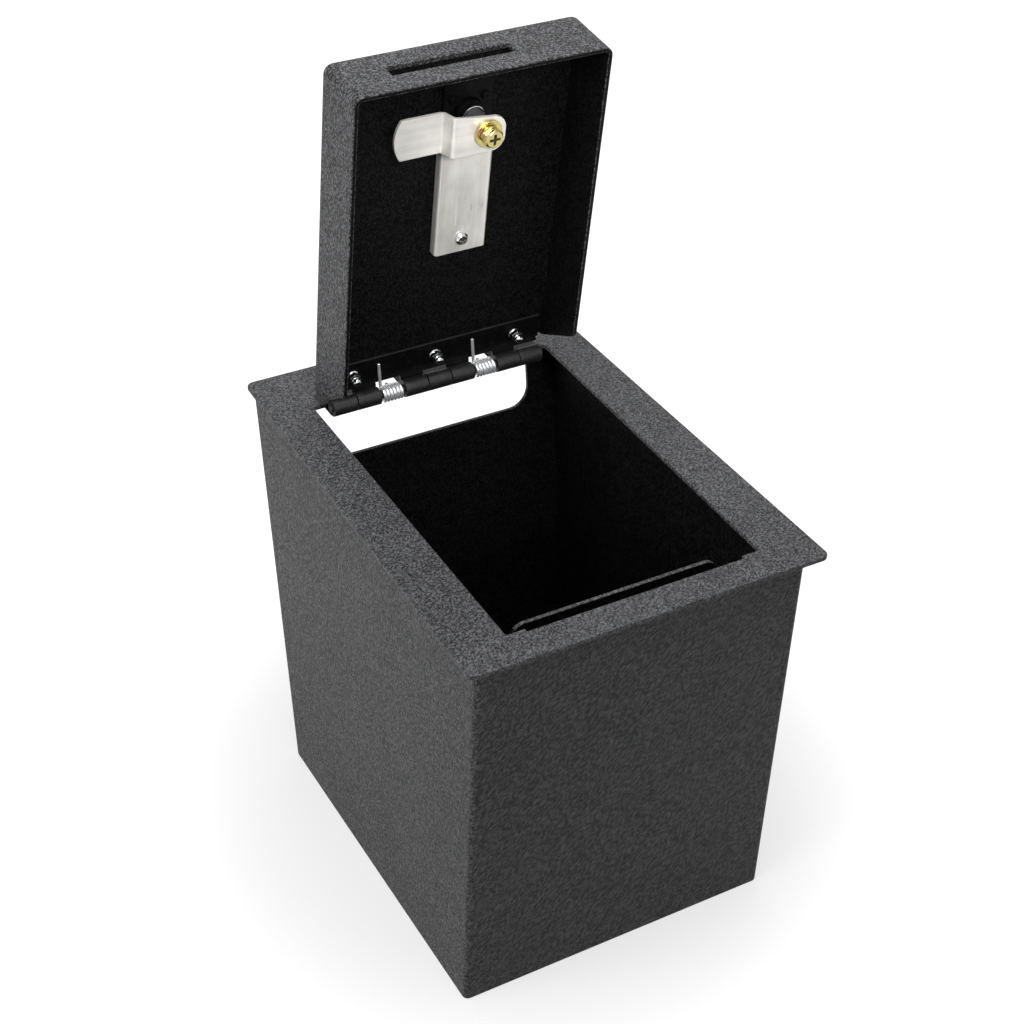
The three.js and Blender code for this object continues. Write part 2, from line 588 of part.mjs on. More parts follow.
// Lid, about the hinge axis with the lid shut
function lidPan() {
  const beyond = lidRear + LID_CORNER_R + OVERSHOOT;
  const shell = (inset, radius) => outline([
    [-lidHalfWidth + inset, lidFront + inset, radius], [lidHalfWidth - inset, lidFront + inset, radius],
    [lidHalfWidth - inset, beyond + 2 * inset], [-lidHalfWidth + inset, beyond + 2 * inset],
  ]);
  const rounded = new THREE.ExtrudeGeometry(shell(0, LID_CORNER_R), {
    depth: LID_SKIRT, bevelEnabled: true, bevelThickness: LID_EDGE_R, bevelSize: LID_EDGE_R,
    bevelOffset: -LID_EDGE_R, bevelSegments: EDGE_STEPS,
  });
  const outer = solid(rounded.translate(0, 0, lidTop - LID_EDGE_R - LID_SKIRT));
  const hollow = slab(shell(LID_SHEET, LID_CORNER_R - LID_SHEET), lidBottom - 2 * OVERSHOOT, lidInner);
  const side = outline([
    [lidFront - OVERSHOOT, lidBottom], [lidRear - SKIRT_CUTBACK, lidBottom, SKIRT_CUT_R],
    [lidRear, lidTop - SKIRT_HEEL, SKIRT_CUT_R / 2], [lidRear, lidTop + OVERSHOOT],
    [lidFront - OVERSHOOT, lidTop + OVERSHOOT],
  ]);
  const keep = profile(side, -lidHalfWidth - OVERSHOOT, lidHalfWidth + OVERSHOOT);
  const slot = block(
    LOCK_X - SLOT_LEFT, LOCK_X + SLOT_RIGHT, lidFront - OVERSHOOT, lidFront + LID_SHEET + OVERSHOOT,
    lidTop - bladeFace - CAM_SHEET - SLOT_BELOW, lidTop - bladeFace + SLOT_ABOVE);
  const lockHole = post(
    LOCK_BARREL_R + LOCK_HOLE_CLEARANCE, LOCK_X, lockY, lidInner - OVERSHOOT, lidTop + OVERSHOOT, ROUND);
  const screwHoles = plateScrewPlaces.map(([x, y]) => post(
    PLATE_SCREW_R + SEAT, x, y, lidInner - OVERSHOOT, lidInner + PLATE_SCREW_BITE + SEAT, SLIM_ROUND));
  const boss = cut(
    post(GUARD_BOSS_R, LOCK_X, guardScrewY, guardBossEnd, lidInner + LID_SHEET / 2),
    post(GUARD_SCREW_R + SEAT, LOCK_X, guardScrewY, guardBossEnd - OVERSHOOT, lidInner, SLIM_ROUND),
  );
  return join(cut(outer.intersect(keep), hollow, slot, lockHole, ...screwHoles), boss);
}

const plateScrewPlaces = [-1, 1].map((side) => [
  LOCK_X + side * PLATE_SCREW_SPACING / 2, lockY - PLATE_SCREW_FORWARD]);
const guardStart = lockY + GUARD_START;
const guardEnd = guardStart + GUARD_LENGTH;
const guardScrewY = guardEnd - GUARD_SCREW_FROM_END;
const guardRibEnd = guardScrewY - GUARD_SCREW_FROM_END;
const guardFace = lidTop - GUARD_TOP;
const guardBossEnd = guardFace + GUARD_SHEET + SEAT;

const bezelFoot = lidTop + SEAT;
const bezelFace = bezelFoot + LOCK_BEZEL_HEIGHT;

function lockBody() {
  const shell = join(
    post(LOCK_BEZEL_R, LOCK_X, lockY, bezelFoot, bezelFace, ROUND, LOCK_BEZEL_R - LOCK_BEZEL_BEVEL),
    post(LOCK_BARREL_R, LOCK_X, lockY, lidTop - LOCK_BARREL_END, (bezelFoot + bezelFace) / 2, ROUND),
    post(LOCK_NECK_R, LOCK_X, lockY, lidTop - LOCK_NECK_END, lidTop - LOCK_BARREL_END / 2, ROUND),
  );
  const bore = post(PLUG_R + PLUG_CLEARANCE, LOCK_X, lockY, lidTop - PLUG_END, lidTop + OVERSHOOT, ROUND);
  return cut(shell, bore);
}

function lockPlate() {
  const shape = rectangle(
    LOCK_X - PLATE_WIDTH / 2, LOCK_X + PLATE_WIDTH / 2,
    lockY - PLATE_FORWARD, lockY + PLATE_BACK, PLATE_CORNER_R);
  const high = lidInner - SEAT;
  return cut(
    slab(shape, high - PLATE_SHEET, high),
    post(LOCK_BARREL_R + LOCK_HOLE_CLEARANCE, LOCK_X, lockY, high - OVERSHOOT, high + OVERSHOOT, ROUND),
    ...plateScrewPlaces.map(([x, y]) => post(
      PLATE_SCREW_R + SEAT, x, y, high - OVERSHOOT, high + OVERSHOOT, SLIM_ROUND)),
  );
}

function plateScrew([x, y]) {
  const under = lidInner - SEAT - PLATE_SHEET - SEAT;
  const crown = PLATE_SCREW_HEAD_R * PLATE_SCREW_CROWN;
  return cut(
    join(
      post(crown, x, y, under - PLATE_SCREW_HEAD, under, SMALL_ROUND, PLATE_SCREW_HEAD_R),
      post(PLATE_SCREW_R, x, y, under - PLATE_SCREW_HEAD / 2, lidInner + PLATE_SCREW_BITE, SLIM_ROUND),
    ),
    crossRecess(x, y, PLATE_SCREW_R / 3, PLATE_SCREW_HEAD_R, under - OVERSHOOT, under - PLATE_SCREW_HEAD / 2),
  );
}

function camGuard() {
  const half = GUARD_WIDTH / 2;
  const foot = lidInner - SEAT;
  const section = outline([
    [-half, foot], [-half, guardFace, GUARD_BEND_R], [half, guardFace, GUARD_BEND_R], [half, foot],
    [half - GUARD_SHEET, foot], [half - GUARD_SHEET, guardFace + GUARD_SHEET, GUARD_BEND_R - GUARD_SHEET],
    [-half + GUARD_SHEET, guardFace + GUARD_SHEET, GUARD_BEND_R - GUARD_SHEET], [-half + GUARD_SHEET, foot],
  ]);
  const rib = block(
    LOCK_X - GUARD_RIB_WIDTH / 2, LOCK_X + GUARD_RIB_WIDTH / 2, guardStart, guardRibEnd,
    guardFace - GUARD_RIB_HEIGHT, guardFace + GUARD_SHEET / 2);
  const hole = post(
    GUARD_SCREW_R + SEAT, LOCK_X, guardScrewY,
    guardFace - OVERSHOOT, guardFace + GUARD_SHEET + SEAT / 2, SLIM_ROUND);
  return cut(join(upright(section, guardStart, guardEnd).translate([LOCK_X, 0, 0]), rib), hole);
}

function guardScrew() {
  const under = guardFace - SEAT;
  const shoulder = under - GUARD_SCREW_HEAD / 2;
  const crown = GUARD_SCREW_HEAD_R * GUARD_SCREW_CROWN;
  const x = LOCK_X;
  const y = guardScrewY;
  return cut(
    join(
      post(crown, x, y, under - GUARD_SCREW_HEAD, shoulder, SMALL_ROUND, GUARD_SCREW_HEAD_R),
      post(GUARD_SCREW_HEAD_R, x, y, shoulder, under),
      post(GUARD_SCREW_R, x, y, shoulder, lidInner - SEAT, SLIM_ROUND),
    ),
    crossRecess(x, y, GUARD_SCREW_CROSS, GUARD_SCREW_HEAD_R, under - OVERSHOOT, shoulder),
  );
}

// Lock core, which turns with the key. Depths count down from the lid's outer face.
const depth = (d) => lidTop - d;

function lockPlug() {
  const face = bezelFace + PLUG_PROUD;
  return cut(
    post(PLUG_R, LOCK_X, lockY, depth(PLUG_END), face, ROUND),
    block(
      LOCK_X - KEYWAY_WIDTH / 2, LOCK_X + KEYWAY_WIDTH / 2,
      lockY - KEYWAY_LENGTH / 2, lockY + KEYWAY_LENGTH / 2, face - KEYWAY_DEPTH, face + OVERSHOOT),
    post(CAM_SCREW_R + SEAT, LOCK_X, lockY, depth(PLUG_END) - OVERSHOOT, camScrewTip + SEAT, SMALL_ROUND),
  );
}

function lockCam() {
  const half = CAM_WIDTH / 2;
  const section = outline([
    [CAM_HUB_END, depth(camHubFace)], [-CAM_BEND_HUB, depth(camHubFace)],
    [-CAM_BEND_BLADE, depth(bladeFace)], [-camReach, depth(bladeFace)],
    [-camReach, depth(bladeFace + CAM_SHEET)],
    [-CAM_BEND_BLADE - CAM_SHEET / 2, depth(bladeFace + CAM_SHEET)],
    [-CAM_BEND_HUB - CAM_SHEET / 2, depth(camHubFace + CAM_SHEET)],
    [CAM_HUB_END, depth(camHubFace + CAM_SHEET)],
  ].reverse());
  const strip = upright(section, -half, half);
  const tip = new THREE.Shape();
  const sweep = Math.asin(half / CAM_TIP_R);
  const hubFront = -half + CAM_HUB_TAPER;
  tip.moveTo(CAM_HUB_END - CAM_HUB_R, half);
  tip.lineTo(-camReach + CAM_TIP_R * (1 - Math.cos(sweep)) + CAM_TIP_CORNER_R, half);
  tip.absarc(-camReach + CAM_TIP_R, 0, CAM_TIP_R, Math.PI - sweep, Math.PI + sweep, false);
  tip.lineTo(-camReach + CAM_TIP_R * (1 - Math.cos(sweep)) + CAM_TIP_CORNER_R, -half);
  tip.lineTo(-CAM_BEND_HUB, -half);
  tip.lineTo(CAM_HUB_END - CAM_HUB_R, hubFront);
  tip.absarc(CAM_HUB_END - CAM_HUB_R, hubFront + CAM_HUB_R, CAM_HUB_R, -Math.PI / 2, 0, false);
  tip.absarc(CAM_HUB_END - CAM_HUB_R, half - CAM_HUB_R, CAM_HUB_R, 0, Math.PI / 2, false);
  const plan = slab(tip, depth(camHubFace + CAM_SHEET) - OVERSHOOT, depth(bladeFace) + OVERSHOOT);
  const hole = post(
    CAM_SCREW_R + SEAT, 0, 0, depth(camHubFace + CAM_SHEET) - OVERSHOOT, depth(camHubFace) + OVERSHOOT);
  return cut(strip.intersect(plan), hole).translate([LOCK_X, lockY, 0]);
}

const washerFace = camHubFace + CAM_SHEET + SEAT;
const springWasherFace = washerFace + WASHER_THICKNESS + SEAT;
const camScrewFace = springWasherFace + SPRING_WASHER_THICKNESS + SEAT;
const camScrewTip = depth(camScrewFace - CAM_SCREW_LENGTH);

function ring(radius, from, thickness) {
  return cut(
    post(radius, LOCK_X, lockY, depth(from + thickness), depth(from), ROUND),
    post(CAM_SCREW_R + SEAT, LOCK_X, lockY, depth(from + thickness) - OVERSHOOT, depth(from) + OVERSHOOT),
  );
}

function camSpringWasher() {
  const split = block(
    LOCK_X, LOCK_X + SPRING_WASHER_R + OVERSHOOT,
    lockY - SPRING_WASHER_SPLIT / 2, lockY + SPRING_WASHER_SPLIT / 2,
    depth(springWasherFace + SPRING_WASHER_THICKNESS) - OVERSHOOT, depth(springWasherFace) + OVERSHOOT);
  return cut(ring(SPRING_WASHER_R, springWasherFace, SPRING_WASHER_THICKNESS), split);
}

function camScrew() {
  const low = depth(camScrewFace + CAM_SCREW_HEAD);
  const corner = CAM_SCREW_FLATS / Math.sqrt(3);
  const waist = low + CAM_SCREW_CHAMFER;
  const chamfer = post(corner - CAM_SCREW_CHAMFER, LOCK_X, lockY, low, waist, ROUND, corner)
    .add(post(corner, LOCK_X, lockY, waist, depth(camScrewFace), ROUND));
  const head = hexagon(CAM_SCREW_FLATS, LOCK_X, lockY, low, depth(camScrewFace)).intersect(chamfer);
  return cut(
    join(head, post(CAM_SCREW_R, LOCK_X, lockY, low + CAM_SCREW_HEAD / 2, camScrewTip, SMALL_ROUND)),
    crossRecess(
      LOCK_X, lockY, CAM_SCREW_CROSS, CAM_SCREW_CROSS_LENGTH,
      low - OVERSHOOT, low + CAM_SCREW_CROSS_DEPTH),
  );
}

// Finishes
const finish = (color, roughness, metalness) => ({ color, roughness, metalness });
const TEXTURED_BLACK = finish(0x38393b, 0.75, 0.1);
const SMOOTH_BLACK = finish(0x151516, 0.4, 0.3);
const STAINLESS = finish(0xc9c6c0, 0.35, 1);
const BRIGHT_ZINC = finish(0xd2d4d6, 0.25, 1);
const YELLOW_ZINC = finish(0xc9b25a, 0.3, 1);

function piece(name, body, look) {
  const geometry = body instanceof THREE.BufferGeometry ? body : geometryOf(body);
  const mesh = new THREE.Mesh(geometry, new THREE.MeshStandardMaterial(look));
  mesh.name = name;
  return mesh;
}

const safe = new THREE.Group();
safe.add(
  piece('body_wrap', bodyWrap(), TEXTURED_BLACK),
  piece('rear_wall', rearWall(), TEXTURED_BLACK),
  piece('floor_plate', floorPlate(), TEXTURED_BLACK),
  piece('rim_frame', rimFrame(), TEXTURED_BLACK),
  piece('skirt_channel', skirtChannel(), TEXTURED_BLACK),
  piece('hinge_body_leaf', bodyLeaf(), SMOOTH_BLACK),
  piece('hinge_pin', hingePin(), SMOOTH_BLACK),
);

const SIDES = ['left', 'middle', 'right'];
studPlaces.forEach((x, i) => {
  safe.add(piece(`body_stud_${SIDES[i]}`, stud(x, bodyStudY, rimUnder), BRIGHT_ZINC));
  safe.add(piece(`body_nut_${SIDES[i]}`, nut(x, bodyStudY, rimUnder - LEAF_SHEET), BRIGHT_ZINC));
});

cellsOf('spring').forEach((index, i) => {
  const name = `torsion_spring_${['left', 'right'][i]}`;
  safe.add(piece(name, spring(name, index), BRIGHT_ZINC));
});

const lid = new THREE.Group();
lid.position.set(0, axisY, axisZ);
lid.rotation.x = -THREE.MathUtils.degToRad(LID_OPEN);
lid.add(
  piece('lid_pan', lidPan(), TEXTURED_BLACK),
  piece('hinge_lid_leaf', lidLeaf(), SMOOTH_BLACK),
  piece('lock_body', lockBody(), SMOOTH_BLACK),
  piece('lock_plate', lockPlate(), SMOOTH_BLACK),
  piece('cam_guard', camGuard(), STAINLESS),
  piece('guard_screw', guardScrew(), BRIGHT_ZINC),
  piece('lock_plug', lockPlug(), BRIGHT_ZINC),
  piece('lock_cam', lockCam(), STAINLESS),
  piece('cam_flat_washer', ring(WASHER_R, washerFace, WASHER_THICKNESS), YELLOW_ZINC),
  piece('cam_spring_washer', camSpringWasher(), YELLOW_ZINC),
  piece('cam_screw', camScrew(), YELLOW_ZINC),
);
plateScrewPlaces.forEach((place, i) => {
  lid.add(piece(`lock_plate_screw_${['left', 'right'][i]}`, plateScrew(place), SMOOTH_BLACK));
});
studPlaces.forEach((x, i) => {
  const y = -LID_STUD_FROM_AXIS;
  const nutFace = lidInner - SEAT - LEAF_SHEET - SEAT;
  lid.add(piece(`lid_stud_${SIDES[i]}`, stud(x, y, lidInner - SEAT / 2), BRIGHT_ZINC));
  lid.add(piece(`lid_nut_${SIDES[i]}`, nut(x, y, nutFace), BRIGHT_ZINC));
});
safe.add(lid);

export default safe;
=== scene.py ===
import json
import math

import bmesh
import bpy
from bpy.props import FloatProperty, FloatVectorProperty, IntProperty
from mathutils import Matrix, Vector


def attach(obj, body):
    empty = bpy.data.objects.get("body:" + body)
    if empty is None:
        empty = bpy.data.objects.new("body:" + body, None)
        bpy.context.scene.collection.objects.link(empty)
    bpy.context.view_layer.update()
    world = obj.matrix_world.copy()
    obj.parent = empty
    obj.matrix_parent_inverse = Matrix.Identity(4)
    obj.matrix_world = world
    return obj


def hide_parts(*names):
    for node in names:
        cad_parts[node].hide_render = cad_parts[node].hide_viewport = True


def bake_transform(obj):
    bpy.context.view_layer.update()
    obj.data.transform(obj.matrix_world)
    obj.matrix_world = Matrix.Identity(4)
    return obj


bl_info = {
    "name": "Console safe",
    "version": (1, 0, 0),
    "blender": (4, 5, 0),
    "location": "3D View > Sidebar > Console safe",
    "description": "Dresses the console safe's solids with their coats, metals and small hardware",
    "category": "Object",
}

# The frame is in metres, with x to the right, y to the rear and z up from under the box
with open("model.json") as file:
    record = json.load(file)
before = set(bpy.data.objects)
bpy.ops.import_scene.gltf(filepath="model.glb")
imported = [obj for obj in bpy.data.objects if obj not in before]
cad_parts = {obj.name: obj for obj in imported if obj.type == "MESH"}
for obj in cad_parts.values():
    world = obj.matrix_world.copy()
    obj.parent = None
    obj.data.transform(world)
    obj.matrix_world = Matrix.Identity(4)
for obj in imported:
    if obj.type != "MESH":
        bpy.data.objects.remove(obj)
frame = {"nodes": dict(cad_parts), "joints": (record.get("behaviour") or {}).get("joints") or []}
MM = 0.001
HINGE = next(j for j in frame["joints"] if j["name"] == "lid_hinge")
AXIS = Vector(HINGE["pos_m"])
OPEN = math.radians(HINGE["range_deg"][1])

# From the shut lid's own directions, about the hinge axis, to the open lid
LID = Matrix.Translation(AXIS) @ Matrix.Rotation(-OPEN, 4, "X")
BOX = Matrix.Identity(4)

# Points nearer than this are one point: of a modelled piece, and of a node's loose triangles
DOUBLED = 0.002 * MM
SOLID_DOUBLED = 0.004 * MM

NOISE_MEAN = 0.5


class SafeSizes(bpy.types.PropertyGroup):
    sheet_edge: FloatProperty(
        name="Sheet edge", description="Rounding of the coated sheet's cut edges",
        default=0.6 * MM, min=0.1 * MM, max=1.1 * MM, unit="LENGTH")
    plate_edge: FloatProperty(
        name="Plate edge", description="Rounding of the hinge's, cam's and guard's edges",
        default=0.25 * MM, min=0.05 * MM, max=0.5 * MM, unit="LENGTH")
    wrinkle: FloatProperty(
        name="Wrinkle size", description="Distance from one wrinkle of the coat to the next",
        default=1.0 * MM, min=0.4 * MM, max=4 * MM, unit="LENGTH")
    wrinkle_height: FloatProperty(
        name="Wrinkle height", description="How far the coat's wrinkles stand up",
        default=0.22 * MM, min=0.0, max=1 * MM, unit="LENGTH")
    wire: FloatProperty(
        name="Spring wire", description="Radius of the torsion springs' wire",
        default=1.0 * MM, min=0.4 * MM, max=1.05 * MM, unit="LENGTH")
    coil: FloatProperty(
        name="Spring coil", description="Radius of the coil, to the middle of the wire",
        default=4.15 * MM, min=3.6 * MM, max=4.4 * MM, unit="LENGTH")
    pitch: FloatProperty(
        name="Spring pitch", description="Advance of the coil in one turn",
        default=2.16 * MM, min=2.1 * MM, max=2.3 * MM, unit="LENGTH")
    turns: IntProperty(
        name="Spring turns", description="Whole turns of each torsion spring", default=5, min=3, max=5)
    leg: FloatProperty(
        name="Spring leg", description="Height of the leg that rests on the lid's leaf, above the hinge axis",
        default=20.0 * MM, min=12 * MM, max=22 * MM, unit="LENGTH")
    bend: FloatProperty(
        name="Cam bend", description="Radius inside the cam's two bends",
        default=1.6 * MM, min=0.4 * MM, max=2.2 * MM, unit="LENGTH")
    thread: FloatProperty(
        name="Thread pitch", description="Pitch of the threads that show",
        default=0.8 * MM, min=0.4 * MM, max=1.25 * MM, unit="LENGTH")


class SafeColours(bpy.types.PropertyGroup):
    coat: FloatVectorProperty(
        name="Powder coat", description="Wrinkled black coat of the box and the lid",
        default=(0.050, 0.0505, 0.053), min=0, max=1, size=3, subtype="COLOR")
    # The inner coat is the powder coat darkened as painted shade inside the box and the lid
    painted_shade_coat: FloatVectorProperty(
        name="Inner coat", description="The shaded, darker coat inside the box and the lid",
        default=(0.0055, 0.0055, 0.006), min=0, max=1, size=3, subtype="COLOR")
    hinge: FloatVectorProperty(
        name="Hinge black", description="Smooth black of the hinge and the lock's plate",
        default=(0.012, 0.012, 0.013), min=0, max=1, size=3, subtype="COLOR")
    stainless: FloatVectorProperty(
        name="Stainless steel", description="Brushed cam and guard",
        default=(0.95, 0.925, 0.87), min=0, max=1, size=3, subtype="COLOR")
    zinc: FloatVectorProperty(
        name="Bright zinc", description="Springs, studs and nuts",
        default=(0.70, 0.71, 0.72), min=0, max=1, size=3, subtype="COLOR")
    passivate: FloatVectorProperty(
        name="Yellow zinc", description="The cam's screw and its washers",
        default=(0.62, 0.52, 0.22), min=0, max=1, size=3, subtype="COLOR")
    floor: FloatVectorProperty(
        name="Floor", description="The pale floor", default=(0.24, 0.24, 0.24), min=0, max=1, size=3,
        subtype="COLOR")


class SafeStage(bpy.types.PropertyGroup):
    azimuth: FloatProperty(
        name="Azimuth", description="The camera's direction round the box",
        default=math.radians(-30.97), unit="ROTATION")
    elevation: FloatProperty(
        name="Elevation", description="The camera's height above the horizon",
        default=math.radians(36.75), unit="ROTATION")
    roll: FloatProperty(
        name="Roll", description="The camera's tilt about its own line of sight",
        default=math.radians(2.66), unit="ROTATION")
    distance: FloatProperty(
        name="Distance", description="From the camera to the point that it looks at",
        default=1.14107, min=0.3, unit="LENGTH")
    target: FloatVectorProperty(
        name="Target", description="The point that the camera looks at",
        default=(-0.00297, 0.0, 0.21968), size=3, subtype="TRANSLATION", unit="LENGTH")
    lens: FloatProperty(name="Lens", description="Focal length in millimetres", default=71.54, min=20)
    left_light: FloatProperty(
        name="Left light", description="Power of the soft light from the left", default=29.0, min=0,
        unit="POWER")
    back_light: FloatProperty(
        name="Back light", description="Power of the soft light from behind and above", default=11.0, min=0,
        unit="POWER")
    top_light: FloatProperty(
        name="Top light", description="Power of the soft light overhead", default=38.0, min=0,
        unit="POWER")
    lid_light: FloatProperty(
        name="Lid light", description="Power of the narrow light on the inside of the lid", default=95.0,
        min=0, unit="POWER")
    front_light: FloatProperty(
        name="Front light", description="Power of the soft light in front", default=1.5, min=0,
        unit="POWER")
    room_light: FloatProperty(
        name="Room light", description="Strength of the even light from all round", default=0.2, min=0)


def sizes():
    return bpy.context.scene.safe_sizes


def colours():
    return bpy.context.scene.safe_colours


# Shader maths
class Strand:
    """A shader socket whose arithmetic adds Math nodes."""

    def __init__(self, recipe, socket):
        self.recipe = recipe
        self.socket = socket

    def maths(self, operation, *values):
        return self.recipe.add("ShaderNodeMath", {"operation": operation}, dict(enumerate(values)))

    def __add__(self, other):
        return self.maths("ADD", self, other)

    def __sub__(self, other):
        return self.maths("SUBTRACT", self, other)

    def __rsub__(self, other):
        return self.maths("SUBTRACT", other, self)

    def __mul__(self, other):
        return self.maths("MULTIPLY", self, other)

    __radd__ = __add__
    __rmul__ = __mul__

    def size(self):
        return self.maths("ABSOLUTE", self)

    def most(self, other):
        return self.maths("MAXIMUM", self, other)

    def clip(self):
        return self.maths("MINIMUM", self, 1.0).most(0.0)


class Recipe:
    """A node tree under construction, and the surface that it ends in."""

    def __init__(self, tree, output):
        self.tree = tree
        tree.nodes.clear()
        self.surface = tree.nodes.new(output).inputs["Surface"]

    def add(self, kind, settings=None, sockets=None, output=0):
        """Adds one node, its settings first, then the values or links of its sockets."""
        node = self.tree.nodes.new(kind)
        for name, value in (settings or {}).items():
            if name == "stops":
                ramp = node.color_ramp
                while len(ramp.elements) < len(value):
                    ramp.elements.new(0.5)
                for element, (place, colour) in zip(ramp.elements, value):
                    element.position = place
                    element.color = (*colour[:3], 1.0)
            else:
                setattr(node, name, value)
        for name, value in (sockets or {}).items():
            self.fill(node.inputs[name], value)
        return Strand(self, node.outputs[output])

    def fill(self, entry, value):
        """Links a socket, or sets its value; a colour becomes opaque."""
        if isinstance(value, Strand):
            self.tree.links.new(value.socket, entry)
        elif entry.type == "RGBA":
            entry.default_value = (*value[:3], 1.0)
        else:
            entry.default_value = value

    def end(self, last):
        self.tree.links.new(last.socket, self.surface)


class Paint(Recipe):
    """A material under construction: its shader and the piece's own coordinates."""

    def __init__(self, name, **constants):
        self.material = bpy.data.materials.new(name)
        self.material.use_nodes = True
        super().__init__(self.material.node_tree, "ShaderNodeOutputMaterial")
        self.shader = self.tree.nodes.new("ShaderNodeBsdfPrincipled")
        self.lit = Strand(self, self.shader.outputs["BSDF"])
        self.end(self.lit)
        for socket, value in constants.items():
            self.set(socket.replace("_", " ").title().replace("Ior", "IOR"), value)

    def set(self, socket, value):
        self.fill(self.shader.inputs[socket], value)

    def place(self, stretch=(1, 1, 1), turn=(0, 0, 0)):
        """The piece's own coordinates, drawn out along turned axes."""
        spot = self.add("ShaderNodeTexCoord", output="Object")
        return self.add("ShaderNodeMapping", {"vector_type": "TEXTURE"}, {
            "Vector": spot, "Scale": stretch, "Rotation": turn})

    def noise(self, vector, scale, detail, rough=0.5, seed=0.0, output="Fac"):
        return self.add("ShaderNodeTexNoise", {"noise_dimensions": "4D"}, {
            "Vector": vector, "W": seed, "Scale": scale, "Detail": detail, "Roughness": rough}, output)

    def lines(self, vector, scale, sharp, seed):
        """Thin winding lines, 1 along their middle, where a noise passes its mean."""
        wave = self.noise(vector, scale, detail=2.0, rough=0.45, seed=seed)
        return (1 - (wave - NOISE_MEAN).size() * sharp).clip()

    def within(self, low, high):
        """1 inside the box between two corners, given in millimetres, and 0 outside it."""
        spot = self.add("ShaderNodeTexCoord", output="Object")
        inside = None
        fade = 2 / MM
        for axis, start, end in zip("XYZ", low, high):
            along = self.add("ShaderNodeSeparateXYZ", None, {"Vector": spot}, axis)
            middle, half = (start + end) / 2 * MM, (end - start) / 2 * MM
            share = ((half - (along - middle).size()) * fade + 0.5).clip()
            inside = share if inside is None else inside * share
        return inside

    def mix(self, share, low, high):
        return self.add("ShaderNodeMix", {"data_type": "RGBA"}, {0: share, 6: low, 7: high}, 2)

    def shift(self, vector, by, amount):
        moved = self.add("ShaderNodeVectorMath", {"operation": "SCALE"}, {0: by, "Scale": amount})
        return self.add("ShaderNodeVectorMath", {"operation": "ADD"}, {0: vector, 1: moved})

    def ramp(self, value, *stops):
        return self.add("ShaderNodeValToRGB", {"stops": stops}, {"Fac": value})

    def bump(self, height, distance, strength):
        self.set("Normal", self.add("ShaderNodeBump", None, {
            "Height": height, "Distance": distance, "Strength": strength}))


def tint(colour, factor):
    return tuple(channel * factor for channel in colour)


def coat_material(name, base, contrast, shine, stretch, turn=(0, 0, 0), dark=None):
    """Wrinkled matt powder coat: bumped ridges and creases, which run longer along the stretched axis,
    coloured lighter on the ridges as painted highlight and darker in the creases as painted shade.

    The coat is darker between the two corners of the dark box, where there is one: painted shade.
    """
    paint = Paint(name, specular_ior_level=shine)
    spot = paint.place(stretch, turn)
    size = sizes().wrinkle
    wander = paint.noise(spot, scale=0.5 / size, detail=2.0, output="Color")
    bent = paint.shift(spot, wander, amount=0.9 * size)
    ridges = paint.lines(bent, scale=0.62 / size, sharp=8.0, seed=1.7)
    creases = paint.lines(bent, scale=0.52 / size, sharp=9.0, seed=5.3)
    grains = (paint.noise(bent, scale=1.25 / size, detail=2.0, rough=0.6) - NOISE_MEAN) * 3.0
    clouds = paint.noise(spot, scale=26.0, detail=3.0, seed=2.9) - NOISE_MEAN
    height = ridges * 0.5 - creases * 0.8 + grains * 0.45
    # The ridges' colour is painted highlight and the creases' painted shade; the grains and clouds are random
    # tone
    shade = 0.42 + (ridges * 0.3 - creases * 0.5 + grains * 0.34) * contrast + clouds * 0.25
    if dark:
        # Painted shade: the coat is darkened inside the dark box
        painted_shade_share = 0.97
        shade = shade * (1 - paint.within(*dark) * painted_shade_share)
    bottom, top = tint(base, 0.12), tint(base, 2.3)
    paint.set("Base Color", paint.mix(shade.clip(), bottom, top))
    paint.set("Roughness", (0.56 + grains * 0.1 - ridges * 0.12).clip())
    paint.bump(height, distance=sizes().wrinkle_height, strength=1.0)
    return paint.material


def smooth_black(name, base, shine, along=(1, 1, 1)):
    """Satin black plating with faint rolling marks and rubbed, mottled spots."""
    paint = Paint(name, specular_ior_level=shine)
    marks = paint.noise(paint.place(along), scale=420.0, detail=4.0, rough=0.6)
    rubbed = paint.noise(paint.place(), scale=170.0, detail=5.0, rough=0.66)
    wear = ((rubbed - 0.52) * 5.0).clip()
    bare = tint(base, 2.6)
    paint.set("Base Color", paint.mix(wear, base, bare))
    paint.set("Roughness", (0.22 + marks * 0.16 + rubbed * 0.26).clip())
    paint.bump(marks * 0.6 + rubbed * 1.4, distance=0.35 * MM, strength=0.9)
    return paint.material


def brushed_steel(name, along):
    """Satin stainless sheet, rubbed along its length, with soft clouding and hairline marks."""
    paint = Paint(name, metallic=0.35)
    grain = paint.place(along)
    hairs = paint.noise(grain, scale=900.0, detail=5.0, rough=0.7)
    clouds = paint.noise(paint.place(), scale=48.0, detail=3.0, rough=0.55) - NOISE_MEAN
    smears = paint.noise(grain, scale=120.0, detail=3.0) - NOISE_MEAN
    tone = (0.62 + (hairs - NOISE_MEAN) * 0.5 + clouds * 1.4 + smears * 1.7).clip()
    dull, bright = tint(colours().stainless, 0.66), tint(colours().stainless, 1.04)
    paint.set("Base Color", paint.mix(tone, dull, bright))
    paint.set("Roughness", (0.24 + hairs * 0.14 + clouds * 0.12).clip())
    paint.bump(hairs + clouds * 0.4, distance=0.03 * MM, strength=0.45)
    return paint.material


def bright_zinc(name, base, metal, dulled):
    """Bright plating, a little cloudy, with fine pits; the wire's is dulled by drawing."""
    paint = Paint(name, metallic=metal)
    spot = paint.place()
    clouds = paint.noise(spot, scale=260.0, detail=4.0, rough=0.6)
    pits = paint.noise(spot, scale=1500.0, detail=2.0)
    dim, clear = tint(base, 0.86), tint(base, 1.1)
    paint.set("Base Color", paint.mix(clouds, dim, clear))
    paint.set("Roughness", (dulled + clouds * 0.12 + pits * 0.06).clip())
    paint.bump(pits + clouds, distance=0.01 * MM, strength=0.3)
    return paint.material


